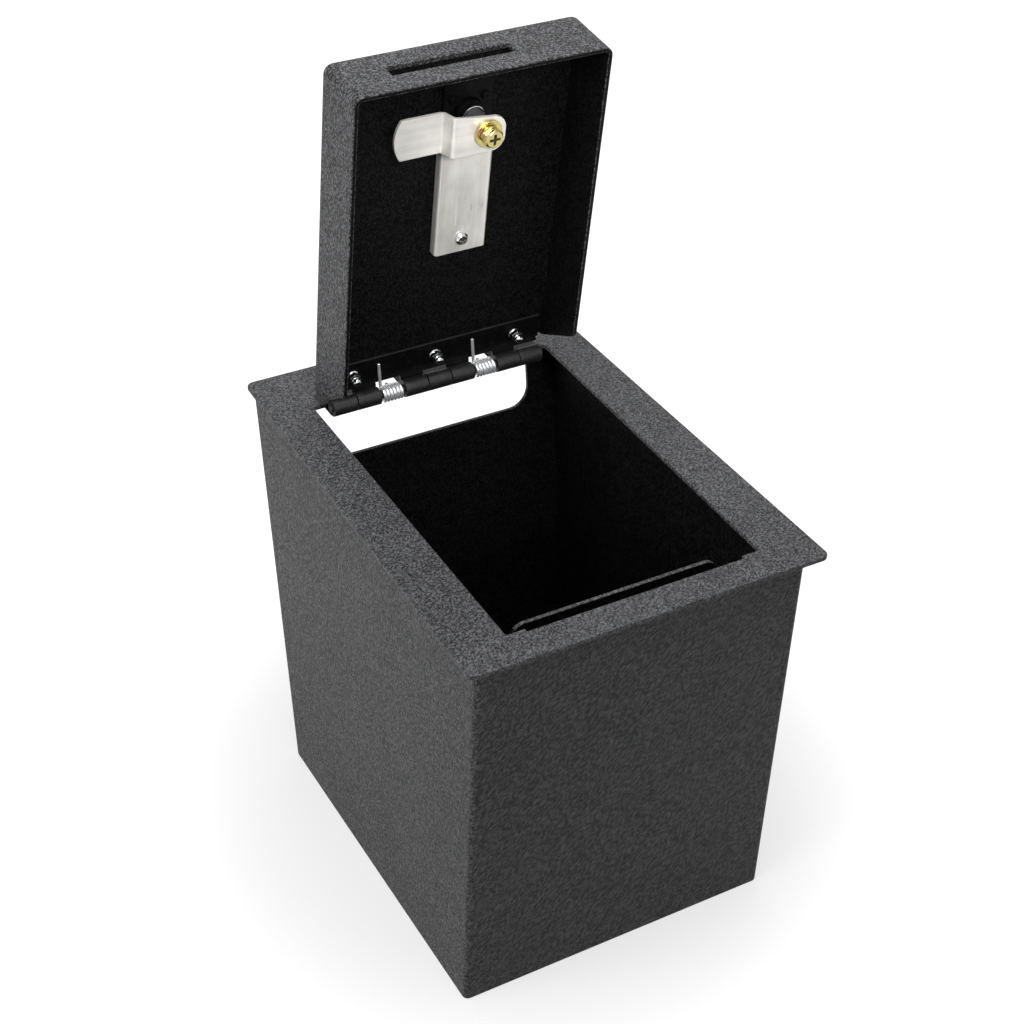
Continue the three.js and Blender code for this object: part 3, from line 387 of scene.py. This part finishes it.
def yellow_zinc(name):
    """Yellow passivated zinc, whose film drifts to rose and pale green."""
    paint = Paint(name, metallic=1.0)
    spot = paint.place()
    drift = paint.noise(spot, scale=120.0, detail=2.0)
    fine = paint.noise(spot, scale=900.0, detail=4.0, rough=0.6)
    base = colours().passivate
    rose = (base[0] * 1.05, base[1] * 0.86, base[2] * 1.55)
    green = (base[0] * 0.82, base[1] * 1.02, base[2] * 1.25)
    bright, stained = tint(base, 1.1), tint(base, 0.72)
    film = paint.ramp(drift, (0.34, green), (0.46, base), (0.56, bright), (0.68, rose))
    paint.set("Base Color", paint.mix((fine * 0.5).clip(), film, stained))
    paint.set("Roughness", (0.17 + fine * 0.2).clip())
    paint.bump(fine, distance=0.02 * MM, strength=0.4)
    return paint.material


MATERIALS = {}


def material(name, make, **details):
    if name not in MATERIALS:
        MATERIALS[name] = make(name, **details)
    return MATERIALS[name]


def box_coat():
    """The walls' coat, whose wrinkles slope, and which is painted dark as shade in a thin band just under the
    rim.
    """
    under, beyond = own_box("rim_frame")[0].z / MM, 200
    # The powder coat made a little darker on the walls: painted shade
    return material(
        "box_coat", coat_material, base=tint(colours().coat, 0.88), contrast=1.35, shine=0.16,
        stretch=(2.3, 1, 1), turn=(0, math.radians(-48), 0),
        dark=((-beyond, -beyond, under - 0.9), (beyond, beyond, under + 0.4)))


def rim_coat():
    """The rim's coat, which is painted dark as shade where the flange shows above the hinge's knuckles."""
    side, front = 72, AXIS.y / MM
    back, bottom, top = front + 17, 200, 300
    # The powder coat made lighter on the rim: painted light on its top
    return material(
        "rim_coat", coat_material, base=tint(colours().coat, 1.2), contrast=1.1, shine=0.16,
        stretch=(1.3, 1, 1), turn=(0, 0, math.radians(30)),
        dark=((-side, front, bottom), (side, back, top)))


def lid_coat():
    return material(
        "lid_coat", coat_material, base=tint(colours().coat, 1.0), contrast=2.1, shine=0.17,
        stretch=(1, 1, 1.25))


# The darker coat of the faces inside the box and the lid: painted shade
def painted_shade_coat():
    return material(
        "inner_coat", coat_material, base=colours().painted_shade_coat, contrast=2.0, shine=0.07, stretch=(1, 1, 1.3))


def hinge_black():
    return material("hinge_black", smooth_black, base=colours().hinge, shine=0.4, along=(6, 1, 1))


# The hinge's black made darker and duller on the leaves: painted shade
def leaf_black():
    return material(
        "leaf_black", smooth_black, base=tint(colours().hinge, 0.3), shine=0.04, along=(6, 1, 1))


# The hinge's black, darker and duller, for the lock inside the lid: painted shade
def plate_black():
    return material("plate_black", smooth_black, base=tint(colours().hinge, 0.35), shine=0.06)


def guard_steel():
    return material("guard_steel", brushed_steel, along=(1, 1, 28))


def cam_steel():
    return material("cam_steel", brushed_steel, along=(20, 1, 1))


def spring_zinc():
    return material("spring_zinc", bright_zinc, base=tint(colours().zinc, 1.3), metal=0.7, dulled=0.16)


def nut_zinc():
    return material("nut_zinc", bright_zinc, base=colours().zinc, metal=1.0, dulled=0.08)


# The nuts' zinc darkened below the top of the flange: painted shade
def flats_zinc():
    return material("flats_zinc", bright_zinc, base=tint(colours().zinc, 0.2), metal=1.0, dulled=0.2)


def plug_steel():
    return material("plug_steel", smooth_black, base=tint(colours().hinge, 6), shine=0.5)


# Dark brown in the screws' cross recesses: grime and painted shade
def grime():
    return material("grime", smooth_black, base=tint(colours().passivate, 0.13), shine=0.3)


def screw_zinc():
    return material("screw_zinc", yellow_zinc)


# Pieces
def own_box(node, place=BOX):
    """A node's lowest and highest corner in the directions of the place that it is built in."""
    back = place.inverted()
    points = [back @ v.co for v in frame["nodes"][node].data.vertices]
    low = Vector(min(p[i] for p in points) for i in range(3))
    high = Vector(max(p[i] for p in points) for i in range(3))
    return low, high


def welded(node, place=BOX):
    """A copy of a node's solid with its loose triangles joined and its flat faces whole."""
    flat = math.radians(0.5)
    bm = bmesh.new()
    bm.from_mesh(frame["nodes"][node].data)
    bmesh.ops.remove_doubles(bm, verts=bm.verts, dist=SOLID_DOUBLED)
    bmesh.ops.dissolve_limit(
        bm, angle_limit=flat, use_dissolve_boundaries=False, verts=bm.verts, edges=bm.edges)
    bmesh.ops.transform(bm, matrix=place.inverted(), verts=bm.verts)
    return bm


def bevel(bm, edges, width, segments, clamp=False):
    bmesh.ops.bevel(
        bm, geom=edges, offset=width, offset_type="OFFSET", segments=segments, profile=0.5,
        affect="EDGES", clamp_overlap=clamp, material=-1)


def round_edges(bm, width, segments=3, least=30, where=None):
    """Bevels the edges that fold more than the least angle, in degrees."""
    edges = [
        e for e in bm.edges
        if e.is_manifold and e.calc_face_angle() > math.radians(least) and (where is None or where(e))
    ]
    if not edges:
        raise RuntimeError("no edge folds enough to be rounded")
    bevel(bm, edges, width, segments)
    return bm


def second_look(piece, place, look, chosen):
    """Gives another material to the faces whose middle and normal, in the place's directions, are chosen."""
    piece.data.materials.append(look)
    back = place.inverted()
    for face in piece.data.polygons:
        if chosen(back @ face.center, back.to_3x3() @ face.normal):
            face.material_index = 1


def shade_recess(piece, node, reach):
    """Gives a lid screw's cross recess its dark brown look, grime and painted shade: the faces just under the
    face of its head.
    """
    low, high = own_box(node, LID)
    axis = (low + high) / 2
    skin, depth, slack = 0.12 * MM, 3 * MM, 0.05 * MM

    def hollow(c, n):
        out = c.xy - axis.xy
        inside = out.length < reach and low.z + skin < c.z < low.z + depth
        return inside and (n.z < -0.5 or n.z > -0.5 and out.dot(n.xy) < slack)

    second_look(piece, LID, grime(), hollow)


def finish_piece(name, bm, body, look, nodes, place=BOX, sharp=38, turned_out=False):
    """Places a bmesh in the frame and makes it a piece that rides on a body and stands for its nodes."""
    bmesh.ops.transform(bm, matrix=place, verts=bm.verts)
    if turned_out:
        bmesh.ops.remove_doubles(bm, verts=bm.verts, dist=DOUBLED)
        bmesh.ops.recalc_face_normals(bm, faces=bm.faces)
    mesh = bpy.data.meshes.new(name)
    bm.to_mesh(mesh)
    bm.free()
    piece = bpy.data.objects.new(name, mesh)
    bpy.context.scene.collection.objects.link(piece)
    mesh.materials.append(look)
    mesh.polygons.foreach_set("use_smooth", [True] * len(mesh.polygons))
    mesh.set_sharp_from_angle(angle=math.radians(sharp))
    even = piece.modifiers.new("Even faces", "WEIGHTED_NORMAL")
    even.keep_sharp = True
    if body:
        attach(piece, body)
    if nodes:
        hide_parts(*nodes)
    return piece


def edged_solid(node, finish, body, look, place=LID, width=1.0, segments=2, least=40):
    """Makes a piece of a node's own solid, its edges rounded by a width counted in plate edges."""
    bm = round_edges(welded(node, place), sizes().plate_edge * width, segments, least)
    return finish_piece(f"{node}_{finish}", bm, body, look, [node], place)


def upright_axis(low, high):
    """Where a turned piece's axis stands, as (x, y)."""
    return (low.x + high.x) / 2, (low.y + high.y) / 2


def spun(section, centre, steps):
    """A turned piece from its half section, as (radius, z) pairs from one end of the axis to the other."""
    bm = bmesh.new()
    x, y = centre
    ring = [bm.verts.new((x + radius, y, z)) for radius, z in section]
    edges = [bm.edges.new(pair) for pair in zip(ring, ring[1:])]
    bmesh.ops.spin(
        bm, geom=ring + edges, cent=(x, y, 0), axis=(0, 0, 1), angle=2 * math.pi, steps=steps,
        use_merge=True, use_duplicate=False)
    bmesh.ops.remove_doubles(bm, verts=bm.verts, dist=DOUBLED)
    bmesh.ops.recalc_face_normals(bm, faces=bm.faces)
    return bm


def eased(corners, radius):
    """A path through the corners, each of them rounded off over the radius on both sides."""
    steps, most_of_side = 6, 0.7
    path = [corners[0]]
    for before, corner, after in zip(corners, corners[1:], corners[2:]):
        start = corner + (before - corner).normalized() * radius
        end = corner + (after - corner).normalized() * min(
            radius, (after - corner).length * most_of_side)
        for i in range(steps + 1):
            share = i / steps
            path.append(start.lerp(corner, share).lerp(corner.lerp(end, share), share))
    return path + [corners[-1]]


def drawn_wire(points, radius, sides):
    """A round wire drawn along the points, its ends closed and slightly rounded."""
    bm = bmesh.new()
    way = (points[1] - points[0]).normalized()
    place = Matrix.Translation(points[0]) @ way.to_track_quat("Z", "Y").to_matrix().to_4x4()
    bmesh.ops.create_circle(bm, cap_ends=True, segments=sides, radius=radius, matrix=place)
    edges = list(bm.edges)
    for i in range(1, len(points)):
        step = points[i] - points[i - 1]
        ahead = points[min(i + 1, len(points) - 1)] - points[i]
        after = (step.normalized() + (ahead.normalized() if ahead.length else step.normalized())).normalized()
        grown = bmesh.ops.extrude_edge_only(bm, edges=edges)["geom"]
        ring = [v for v in grown if isinstance(v, bmesh.types.BMVert)]
        edges = [e for e in grown if isinstance(e, bmesh.types.BMEdge) and all(v in ring for v in e.verts)]
        bmesh.ops.translate(bm, vec=step, verts=ring)
        bmesh.ops.rotate(bm, cent=points[i], matrix=way.rotation_difference(after).to_matrix(), verts=ring)
        way = after
    bmesh.ops.contextual_create(bm, geom=edges)
    caps = [f for f in bm.faces if len(f.verts) == sides]
    rims = list(dict.fromkeys(e for f in caps for e in f.edges))
    bevel(bm, rims, radius * 0.3, segments=2, clamp=True)
    return bm


def hexagon(centre, across, low, high, dome):
    """A hexagon prism whose corners are turned off at both ends."""
    radius = across / math.sqrt(3)
    bm = bmesh.new()
    place = Matrix.Translation((centre[0], centre[1], (low + high) / 2))
    bmesh.ops.create_cone(
        bm, cap_ends=True, segments=6, radius1=radius, radius2=radius, depth=high - low, matrix=place)
    level = 0.01 * MM
    rims = [e for e in bm.edges if abs(e.verts[0].co.z - e.verts[1].co.z) < level]
    bevel(bm, rims, dome, segments=3)
    return bm


def merge_in(bm, other):
    """Adds another bmesh's faces to this one."""
    mesh = bpy.data.meshes.new("passing")
    other.to_mesh(mesh)
    other.free()
    bm.from_mesh(mesh)
    bpy.data.meshes.remove(mesh)
    return bm


class SAFE_OT_box(bpy.types.Operator):
    """Rounds the edges of the box's sheets and coats them, with a darker coat inside as painted shade"""

    bl_idname = "console_safe.box"
    bl_label = "Coated box"

    def execute(self, context):
        under = own_box("rim_frame")[0].z
        joined = 0.1 * MM
        shown_top = own_box("skirt_channel")[1].z - 2 * MM
        # The faces inside the box, under the rim and the channel's faces below its top edges get the darker
        # coat: painted shade
        inward = {
            "body_wrap": lambda c, n: n.x * c.x < 0 and abs(n.x) > 0.5 or n.y > 0.5 and c.y < 0,
            "rear_wall": lambda c, n: n.y < -0.3,
            "floor_plate": lambda c, n: n.z > 0.5,
            "rim_frame": lambda c, n: n.z < -0.5,
            "skirt_channel": lambda c, n: n.z < 0.3 or c.z < shown_top,
        }
        for node, test in inward.items():
            # Edges that meet the rim's underside stay sharp
            def free(edge, node=node):
                heights = [v.co.z for v in edge.verts]
                return node == "rim_frame" or min(heights) < under - joined

            bm = round_edges(welded(node), sizes().sheet_edge, where=free)
            look = rim_coat() if node in ("rim_frame", "skirt_channel") else box_coat()
            piece = finish_piece(f"{node}_coated", bm, "safe_body", look, [node])
            second_look(piece, BOX, painted_shade_coat(), test)
        return {"FINISHED"}


class SAFE_OT_hinge(bpy.types.Operator):
    """Finishes the hinge's leaves, knuckles and pin in smooth black, darker on the leaves' faces away from
    the barrel as painted shade
    """

    bl_idname = "console_safe.hinge"
    bl_label = "Hinge"

    def execute(self, context):
        for node, body, place in (
                ("hinge_body_leaf", "safe_body", BOX), ("hinge_pin", "safe_body", BOX),
                ("hinge_lid_leaf", "lid", LID)):
            piece = edged_solid(node, "black", body, hinge_black(), place)
            axis, edge = place.inverted() @ AXIS, own_box(node, place)[0].y + 0.3 * MM
            barrel = 5.6 * MM
            # The leaves' faces away from the barrel get the darker black as painted shade; the barrel keeps
            # the brighter black
            second_look(piece, place, leaf_black(), lambda c, n: (
                (c.yz - axis.yz).length > barrel and c.y > edge))
        return {"FINISHED"}


class SAFE_OT_springs(bpy.types.Operator):
    """Winds the two torsion springs, whose legs lie on the lid's leaf and under the box's leaf"""

    bl_idname = "console_safe.springs"
    bl_label = "Torsion springs"

    def path(self, middle):
        """The wire's points: the leg on the lid's leaf, the turns, the leg under the box's leaf."""
        coil, pitch, turns, leg = sizes().coil, sizes().pitch, sizes().turns, sizes().leg
        starts_at, leaves_at, steps_in_turn = 105, 262, 36
        first, last = math.radians(starts_at), math.radians(leaves_at + 360 * turns)
        steps = turns * steps_in_turn
        reach = (last - first) * pitch / (4 * math.pi)
        turned = []
        for i in range(steps + 1):
            angle = first + (last - first) * i / steps
            along = middle - reach + 2 * reach * i / steps
            turned.append(AXIS + Vector((along - AXIS.x, coil * math.cos(angle), coil * math.sin(angle))))
        left = middle - reach
        knee_out, knee_back, knee_up = 0.4 * MM, 0.9 * MM, 0.1 * MM
        tip_out, tip_back = 0.9 * MM, 2.4 * MM
        knee = AXIS + Vector((left - knee_out - AXIS.x, knee_back, coil + knee_up))
        tip = AXIS + Vector((left - tip_out - AXIS.x, tip_back, leg))
        box_leg = Vector((0, 19 * MM, -2.7 * MM))
        bend = 1.6 * MM
        return eased([tip, knee, turned[0]], bend)[:-1] + turned + [turned[-1] + box_leg]

    def execute(self, context):
        for side in ("left", "right"):
            node = f"torsion_spring_{side}"
            low, high = own_box(node)
            middle = (low.x + high.x) / 2
            bm = drawn_wire(self.path(middle), sizes().wire, sides=14)
            piece = finish_piece(
                f"{node}_wire", bm, None, spring_zinc(), [node], sharp=50, turned_out=True)
            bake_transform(piece)
        return {"FINISHED"}


class SAFE_OT_nuts(bpy.types.Operator):
    """Makes the threaded studs and the plated nuts of both hinge leaves"""

    bl_idname = "console_safe.nuts"
    bl_label = "Studs and nuts"

    def execute(self, context):
        for body, owner, place in (("safe_body", "body", BOX), ("lid", "lid", LID)):
            for side in ("left", "middle", "right"):
                self.stud(f"{owner}_stud_{side}", body, place)
                self.nut(f"{owner}_nut_{side}", body, place)
        return {"FINISHED"}

    def stud(self, node, body, place):
        low, high = own_box(node, place)
        radius = (high.x - low.x) / 2
        tip, tip_steps = radius * 0.85, 12
        angles = [math.radians(90 / tip_steps * (i + 1)) for i in range(tip_steps)]
        section = [(0, low.z)] + [(radius * math.sin(a), low.z + tip * (1 - math.cos(a))) for a in angles]
        pitch, root, plain = sizes().thread, radius * 0.86, 0.5 * MM
        root_starts, root_ends, next_turn = pitch * 0.44, pitch * 0.56, pitch * 1.04
        z = low.z + tip + 0.3 * MM
        while z + pitch < high.z - plain:
            section += [(radius, z), (root, z + root_starts), (root, z + root_ends), (radius, z + pitch)]
            z += next_turn
        section += [(radius, high.z), (0, high.z)]
        bm = spun(section, upright_axis(low, high), steps=40)
        finish_piece(f"{node}_threaded", bm, body, nut_zinc(), [node], place)

    def nut(self, node, body, place):
        """A hexagon between a flange, which lies on the leaf, and a collar."""
        low, high = own_box(node, place)
        centre = upright_axis(low, high)
        across = (high.x - low.x) * 0.86
        flange, rim, bore = 4.0 * MM, 3.1 * MM, 2.58 * MM
        collar, face = low.z + 1.2 * MM, high.z - 1.2 * MM
        bm = hexagon(centre, across, collar, face, dome=0.5 * MM)
        merge_in(bm, spun([
            (bore, high.z), (flange * 0.96, high.z), (flange, high.z - 0.2 * MM),
            (flange, high.z - 0.75 * MM), (flange * 0.95, high.z - 1.0 * MM),
            (flange * 0.82, high.z - 1.5 * MM), (bore, high.z - 1.5 * MM), (bore, high.z)], centre, steps=48))
        foot = collar + 0.3 * MM
        merge_in(bm, spun([
            (bore, foot), (bore, low.z + 0.35 * MM), (bore + 0.2 * MM, low.z + 0.08 * MM),
            (rim * 0.93, low.z), (rim * 0.98, low.z + 0.15 * MM), (rim, low.z + 0.5 * MM),
            (rim, foot), (bore, foot)], centre, steps=40))
        piece = finish_piece(
            f"{node}_plated", bm, body, nut_zinc(), [node], place, sharp=30)
        top, inner = high.z - 1.3 * MM, bore + 0.05 * MM
        # The nut's faces below the top of its flange, except in the bore, get the darkened zinc: painted
        # shade
        second_look(piece, place, flats_zinc(), lambda c, n: (
            c.z < top and (c.xy - Vector(centre)).length > inner))


class SAFE_OT_lid(bpy.types.Operator):
    """Rounds the lid pan's edges and coats it, with a darker coat inside as painted shade"""

    bl_idname = "console_safe.lid"
    bl_label = "Lid pan"

    def execute(self, context):
        bm = round_edges(welded("lid_pan", LID), sizes().sheet_edge, segments=3, least=40)
        piece = finish_piece("lid_pan_coated", bm, "lid", lid_coat(), ["lid_pan"], LID)
        low, high = own_box("lid_pan", LID)
        sheet, slack = 2.75 * MM, 0.2 * MM
        # The lid's inside faces get the darker coat: painted shade
        second_look(piece, LID, painted_shade_coat(), lambda c, n: (
            low.x + sheet - slack < c.x < high.x - sheet + slack and c.y > low.y + sheet - slack
            and c.z < high.z - sheet + slack))
        return {"FINISHED"}


class SAFE_OT_lock(bpy.types.Operator):
    """Makes the lock's black body with its bright end ring, its plug, and its plate with two screws"""

    bl_idname = "console_safe.lock"
    bl_label = "Key lock"

    def execute(self, context):
        # The lock's body, plate and screws are the hinge's black darkened as painted shade
        edged_solid("lock_body", "black", "lid", plate_black())
        self.end_ring(*own_box("lock_body", LID))
        edged_solid("lock_plug", "plated", "lock_core", plug_steel(), width=0.4)
        edged_solid("lock_plate", "black", "lid", plate_black(), width=2, segments=3)
        for side in ("left", "right"):
            edged_solid(
                f"lock_plate_screw_{side}", "black", "lid", plate_black(), width=0.5, least=50)
        return {"FINISHED"}

    def end_ring(self, low, high):
        """The bright ring on the barrel's end, which has no solid of its own."""
        inner, outer, foot = 6.0 * MM, 7.05 * MM, low.z - 0.1 * MM
        ring = spun([
            (inner, foot), (6.2 * MM, low.z - 0.55 * MM), (6.6 * MM, low.z - 0.7 * MM),
            (6.95 * MM, low.z - 0.5 * MM), (outer, foot), (inner, foot)], upright_axis(low, high), steps=64)
        finish_piece("lock_end_ring", ring, "lid", nut_zinc(), [], LID)


class SAFE_OT_cam(bpy.types.Operator):
    """Bends the cam out of satin sheet and finishes its yellow screw and washers"""

    bl_idname = "console_safe.cam"
    bl_label = "Cam"

    def execute(self, context):
        bm = welded("lock_cam", LID)
        bends = self.bends(bm)
        sheet = 2 * MM
        for wide in (True, False):
            chosen = [e for e in bends if e.is_valid and e.is_convex == wide]
            radius = sizes().bend + (sheet if wide else 0)
            bevel(bm, chosen, radius * math.tan(chosen[0].calc_face_angle() / 2), segments=7)
        round_edges(bm, sizes().plate_edge, segments=3, least=50)
        finish_piece("lock_cam_satin", bm, "lock_core", cam_steel(), ["lock_cam"], LID)
        for node in ("cam_flat_washer", "cam_spring_washer", "cam_screw"):
            piece = edged_solid(node, "yellow", "lock_core", screw_zinc(), width=0.7)
        shade_recess(piece, "cam_screw", reach=3.4 * MM)
        return {"FINISHED"}

    def bends(self, bm):
        """The four edges across the cam at which its sheet folds, on either face of it."""
        low, high = own_box("lock_cam", LID)
        full, level = 0.7 * (high.y - low.y), 0.1 * MM
        least, most = 20, 80
        found = []
        for edge in bm.edges:
            run = edge.verts[1].co - edge.verts[0].co
            steep = least < math.degrees(edge.calc_face_angle(0)) < most
            if abs(run.y) > full and abs(run.x) < level and steep:
                found.append(edge)
        if len(found) != 4:
            raise RuntimeError(f"the cam has {len(found)} bend edges, not 4")
        return found


class SAFE_OT_guard(bpy.types.Operator):
    """Finishes the satin cam guard and its pan head screw"""

    bl_idname = "console_safe.guard"
    bl_label = "Cam guard"

    def execute(self, context):
        edged_solid(
            "cam_guard", "satin", "lid", guard_steel(), width=1.4, segments=3, least=50)
        piece = edged_solid("guard_screw", "plated", "lid", nut_zinc(), width=0.8)
        shade_recess(piece, "guard_screw", reach=2.4 * MM)
        return {"FINISHED"}


class SAFE_OT_stage(bpy.types.Operator):
    """Lays the pale floor, lights it softly and sets the camera"""

    bl_idname = "console_safe.stage"
    bl_label = "Stage"

    # Each soft light's side length, and its place
    SOFT_LIGHTS = {
        "left_light": (1.2, (-1.7, -0.1, 1.2)),
        "back_light": (1.6, (0.85, 1.4, 1.55)),
        "top_light": (1.6, (-0.15, -0.2, 2.1)),
        "front_light": (1.2, (-0.5, -1.7, 1.3)),
    }
    MIDDLE = Vector((0, 0, 0.2))
    LID_LIGHT_PLACE = (-0.35, -1.3, 1.15)
    LID_LIGHT_ABOVE_HINGE = 0.11
    LID_LIGHT_SPREAD, LID_LIGHT_BLEND, LID_LIGHT_SIZE = math.radians(12), 0.7, 0.15
    SENSOR, NEAREST, FURTHEST = 36, 0.05, 30

    # The floor glows less under the box, so that its shadow shows, and nearly white further out
    SHADOW_END, WHITE_START = 0.13, 0.3
    SHADOW_GLOW, WHITE_GLOW = 0.62, 0.9

    def execute(self, context):
        self.floor(context)
        self.room(context)
        self.lights(context)
        self.camera(context)
        return {"FINISHED"}

    def floor(self, context):
        reach, drop = 6.0, 0.0002
        bm = bmesh.new()
        bmesh.ops.create_grid(bm, x_segments=1, y_segments=1, size=reach)
        bmesh.ops.translate(bm, vec=(0, 0, -drop), verts=bm.verts)
        mesh = bpy.data.meshes.new("floor")
        bm.to_mesh(mesh)
        bm.free()
        floor = bpy.data.objects.new("floor", mesh)
        context.scene.collection.objects.link(floor)
        paint = Paint("floor_white", base_color=colours().floor, roughness=0.9, specular_ior_level=0.1)
        seen = paint.add("ShaderNodeLightPath", output="Is Camera Ray")
        glossy = paint.add("ShaderNodeLightPath", output="Is Glossy Ray")
        away = paint.add("ShaderNodeVectorMath", {"operation": "LENGTH"}, {0: paint.place()}, 1)
        white = paint.add("ShaderNodeMapRange", {"interpolation_type": "SMOOTHSTEP"}, {
            "Value": away, "From Min": self.SHADOW_END, "From Max": self.WHITE_START,
            "To Min": self.SHADOW_GLOW, "To Max": self.WHITE_GLOW})
        glow = paint.add("ShaderNodeEmission", None, {
            "Color": (1, 1, 1), "Strength": (seen + glossy).clip() * white})
        paint.end(paint.add("ShaderNodeAddShader", None, {0: paint.lit, 1: glow}))
        mesh.materials.append(paint.material)

    def room(self, context):
        """White to the camera and in reflections, and a dim even light on the safe."""
        world = bpy.data.worlds.new("room")
        context.scene.world = world
        world.use_nodes = True
        recipe = Recipe(world.node_tree, "ShaderNodeOutputWorld")
        shown = recipe.add("ShaderNodeLightPath", output="Is Camera Ray")
        for ray in ("Is Glossy Ray", "Is Transmission Ray"):
            shown = shown.most(recipe.add("ShaderNodeLightPath", output=ray))
        strength = recipe.add("ShaderNodeMapRange", None, {
            "Value": shown, "To Min": context.scene.safe_stage.room_light, "To Max": 1.0})
        recipe.end(recipe.add("ShaderNodeBackground", None, {"Strength": strength}))

    def lights(self, context):
        for name, (size, place) in self.SOFT_LIGHTS.items():
            self.lamp(context, name, "AREA", place, self.MIDDLE).size = size
        inside = Vector((0, AXIS.y, AXIS.z + self.LID_LIGHT_ABOVE_HINGE))
        lid_light = self.lamp(context, "lid_light", "SPOT", self.LID_LIGHT_PLACE, inside)
        lid_light.spot_size = self.LID_LIGHT_SPREAD
        lid_light.spot_blend = self.LID_LIGHT_BLEND
        lid_light.shadow_soft_size = self.LID_LIGHT_SIZE

    def lamp(self, context, name, kind, place, target):
        lamp = bpy.data.lights.new(name, kind)
        lamp.energy = getattr(context.scene.safe_stage, name)
        holder = bpy.data.objects.new(name, lamp)
        context.scene.collection.objects.link(holder)
        holder.location = place
        way = target - holder.location
        holder.rotation_euler = way.to_track_quat("-Z", "Y").to_euler()
        return lamp

    def camera(self, context):
        stage = context.scene.safe_stage
        around, above = stage.azimuth, stage.elevation
        level = math.cos(above)
        way = Vector((math.sin(-around) * level, math.cos(around) * level, -math.sin(above)))
        right = way.cross(Vector((0, 0, 1))).normalized()
        up = right.cross(way)
        along, across = math.cos(stage.roll), math.sin(stage.roll)
        right, up = right * along + up * across, up * along - right * across
        turn = Matrix((right, up, -way)).transposed().to_4x4()
        data = bpy.data.cameras.new("camera")
        data.lens = stage.lens
        data.sensor_width = self.SENSOR
        data.clip_start, data.clip_end = self.NEAREST, self.FURTHEST
        camera = bpy.data.objects.new("camera", data)
        context.scene.collection.objects.link(camera)
        camera.matrix_world = Matrix.Translation(Vector(stage.target) - way * stage.distance) @ turn
        context.scene.camera = camera
        context.scene.view_settings.view_transform = "Standard"


class SAFE_PT_panel(bpy.types.Panel):
    """The safe's sizes, colours and steps"""

    bl_idname = "SAFE_PT_panel"
    bl_label = "Console safe"
    bl_space_type = "VIEW_3D"
    bl_region_type = "UI"
    bl_category = "Console safe"

    def draw(self, context):
        for group in (context.scene.safe_sizes, context.scene.safe_colours, context.scene.safe_stage):
            column = self.layout.column(align=True)
            for name in group.__annotations__:
                column.prop(group, name)
        for step in STEPS:
            self.layout.operator(step.bl_idname)


STEPS = (
    SAFE_OT_box, SAFE_OT_hinge, SAFE_OT_springs, SAFE_OT_nuts, SAFE_OT_lid, SAFE_OT_lock,
    SAFE_OT_cam, SAFE_OT_guard, SAFE_OT_stage,
)
CLASSES = (SafeSizes, SafeColours, SafeStage, *STEPS, SAFE_PT_panel)


def register():
    for kind in CLASSES:
        bpy.utils.register_class(kind)
    bpy.types.Scene.safe_sizes = bpy.props.PointerProperty(type=SafeSizes)
    bpy.types.Scene.safe_colours = bpy.props.PointerProperty(type=SafeColours)
    bpy.types.Scene.safe_stage = bpy.props.PointerProperty(type=SafeStage)


def unregister():
    del bpy.types.Scene.safe_stage
    del bpy.types.Scene.safe_colours
    del bpy.types.Scene.safe_sizes
    for kind in reversed(CLASSES):
        bpy.utils.unregister_class(kind)


def main():
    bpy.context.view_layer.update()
    register()
    bpy.ops.console_safe.box()
    bpy.ops.console_safe.hinge()
    bpy.ops.console_safe.springs()
    bpy.ops.console_safe.nuts()
    bpy.ops.console_safe.lid()
    bpy.ops.console_safe.lock()
    bpy.ops.console_safe.cam()
    bpy.ops.console_safe.guard()
    bpy.ops.console_safe.stage()


if __name__ == "__main__":
    main()
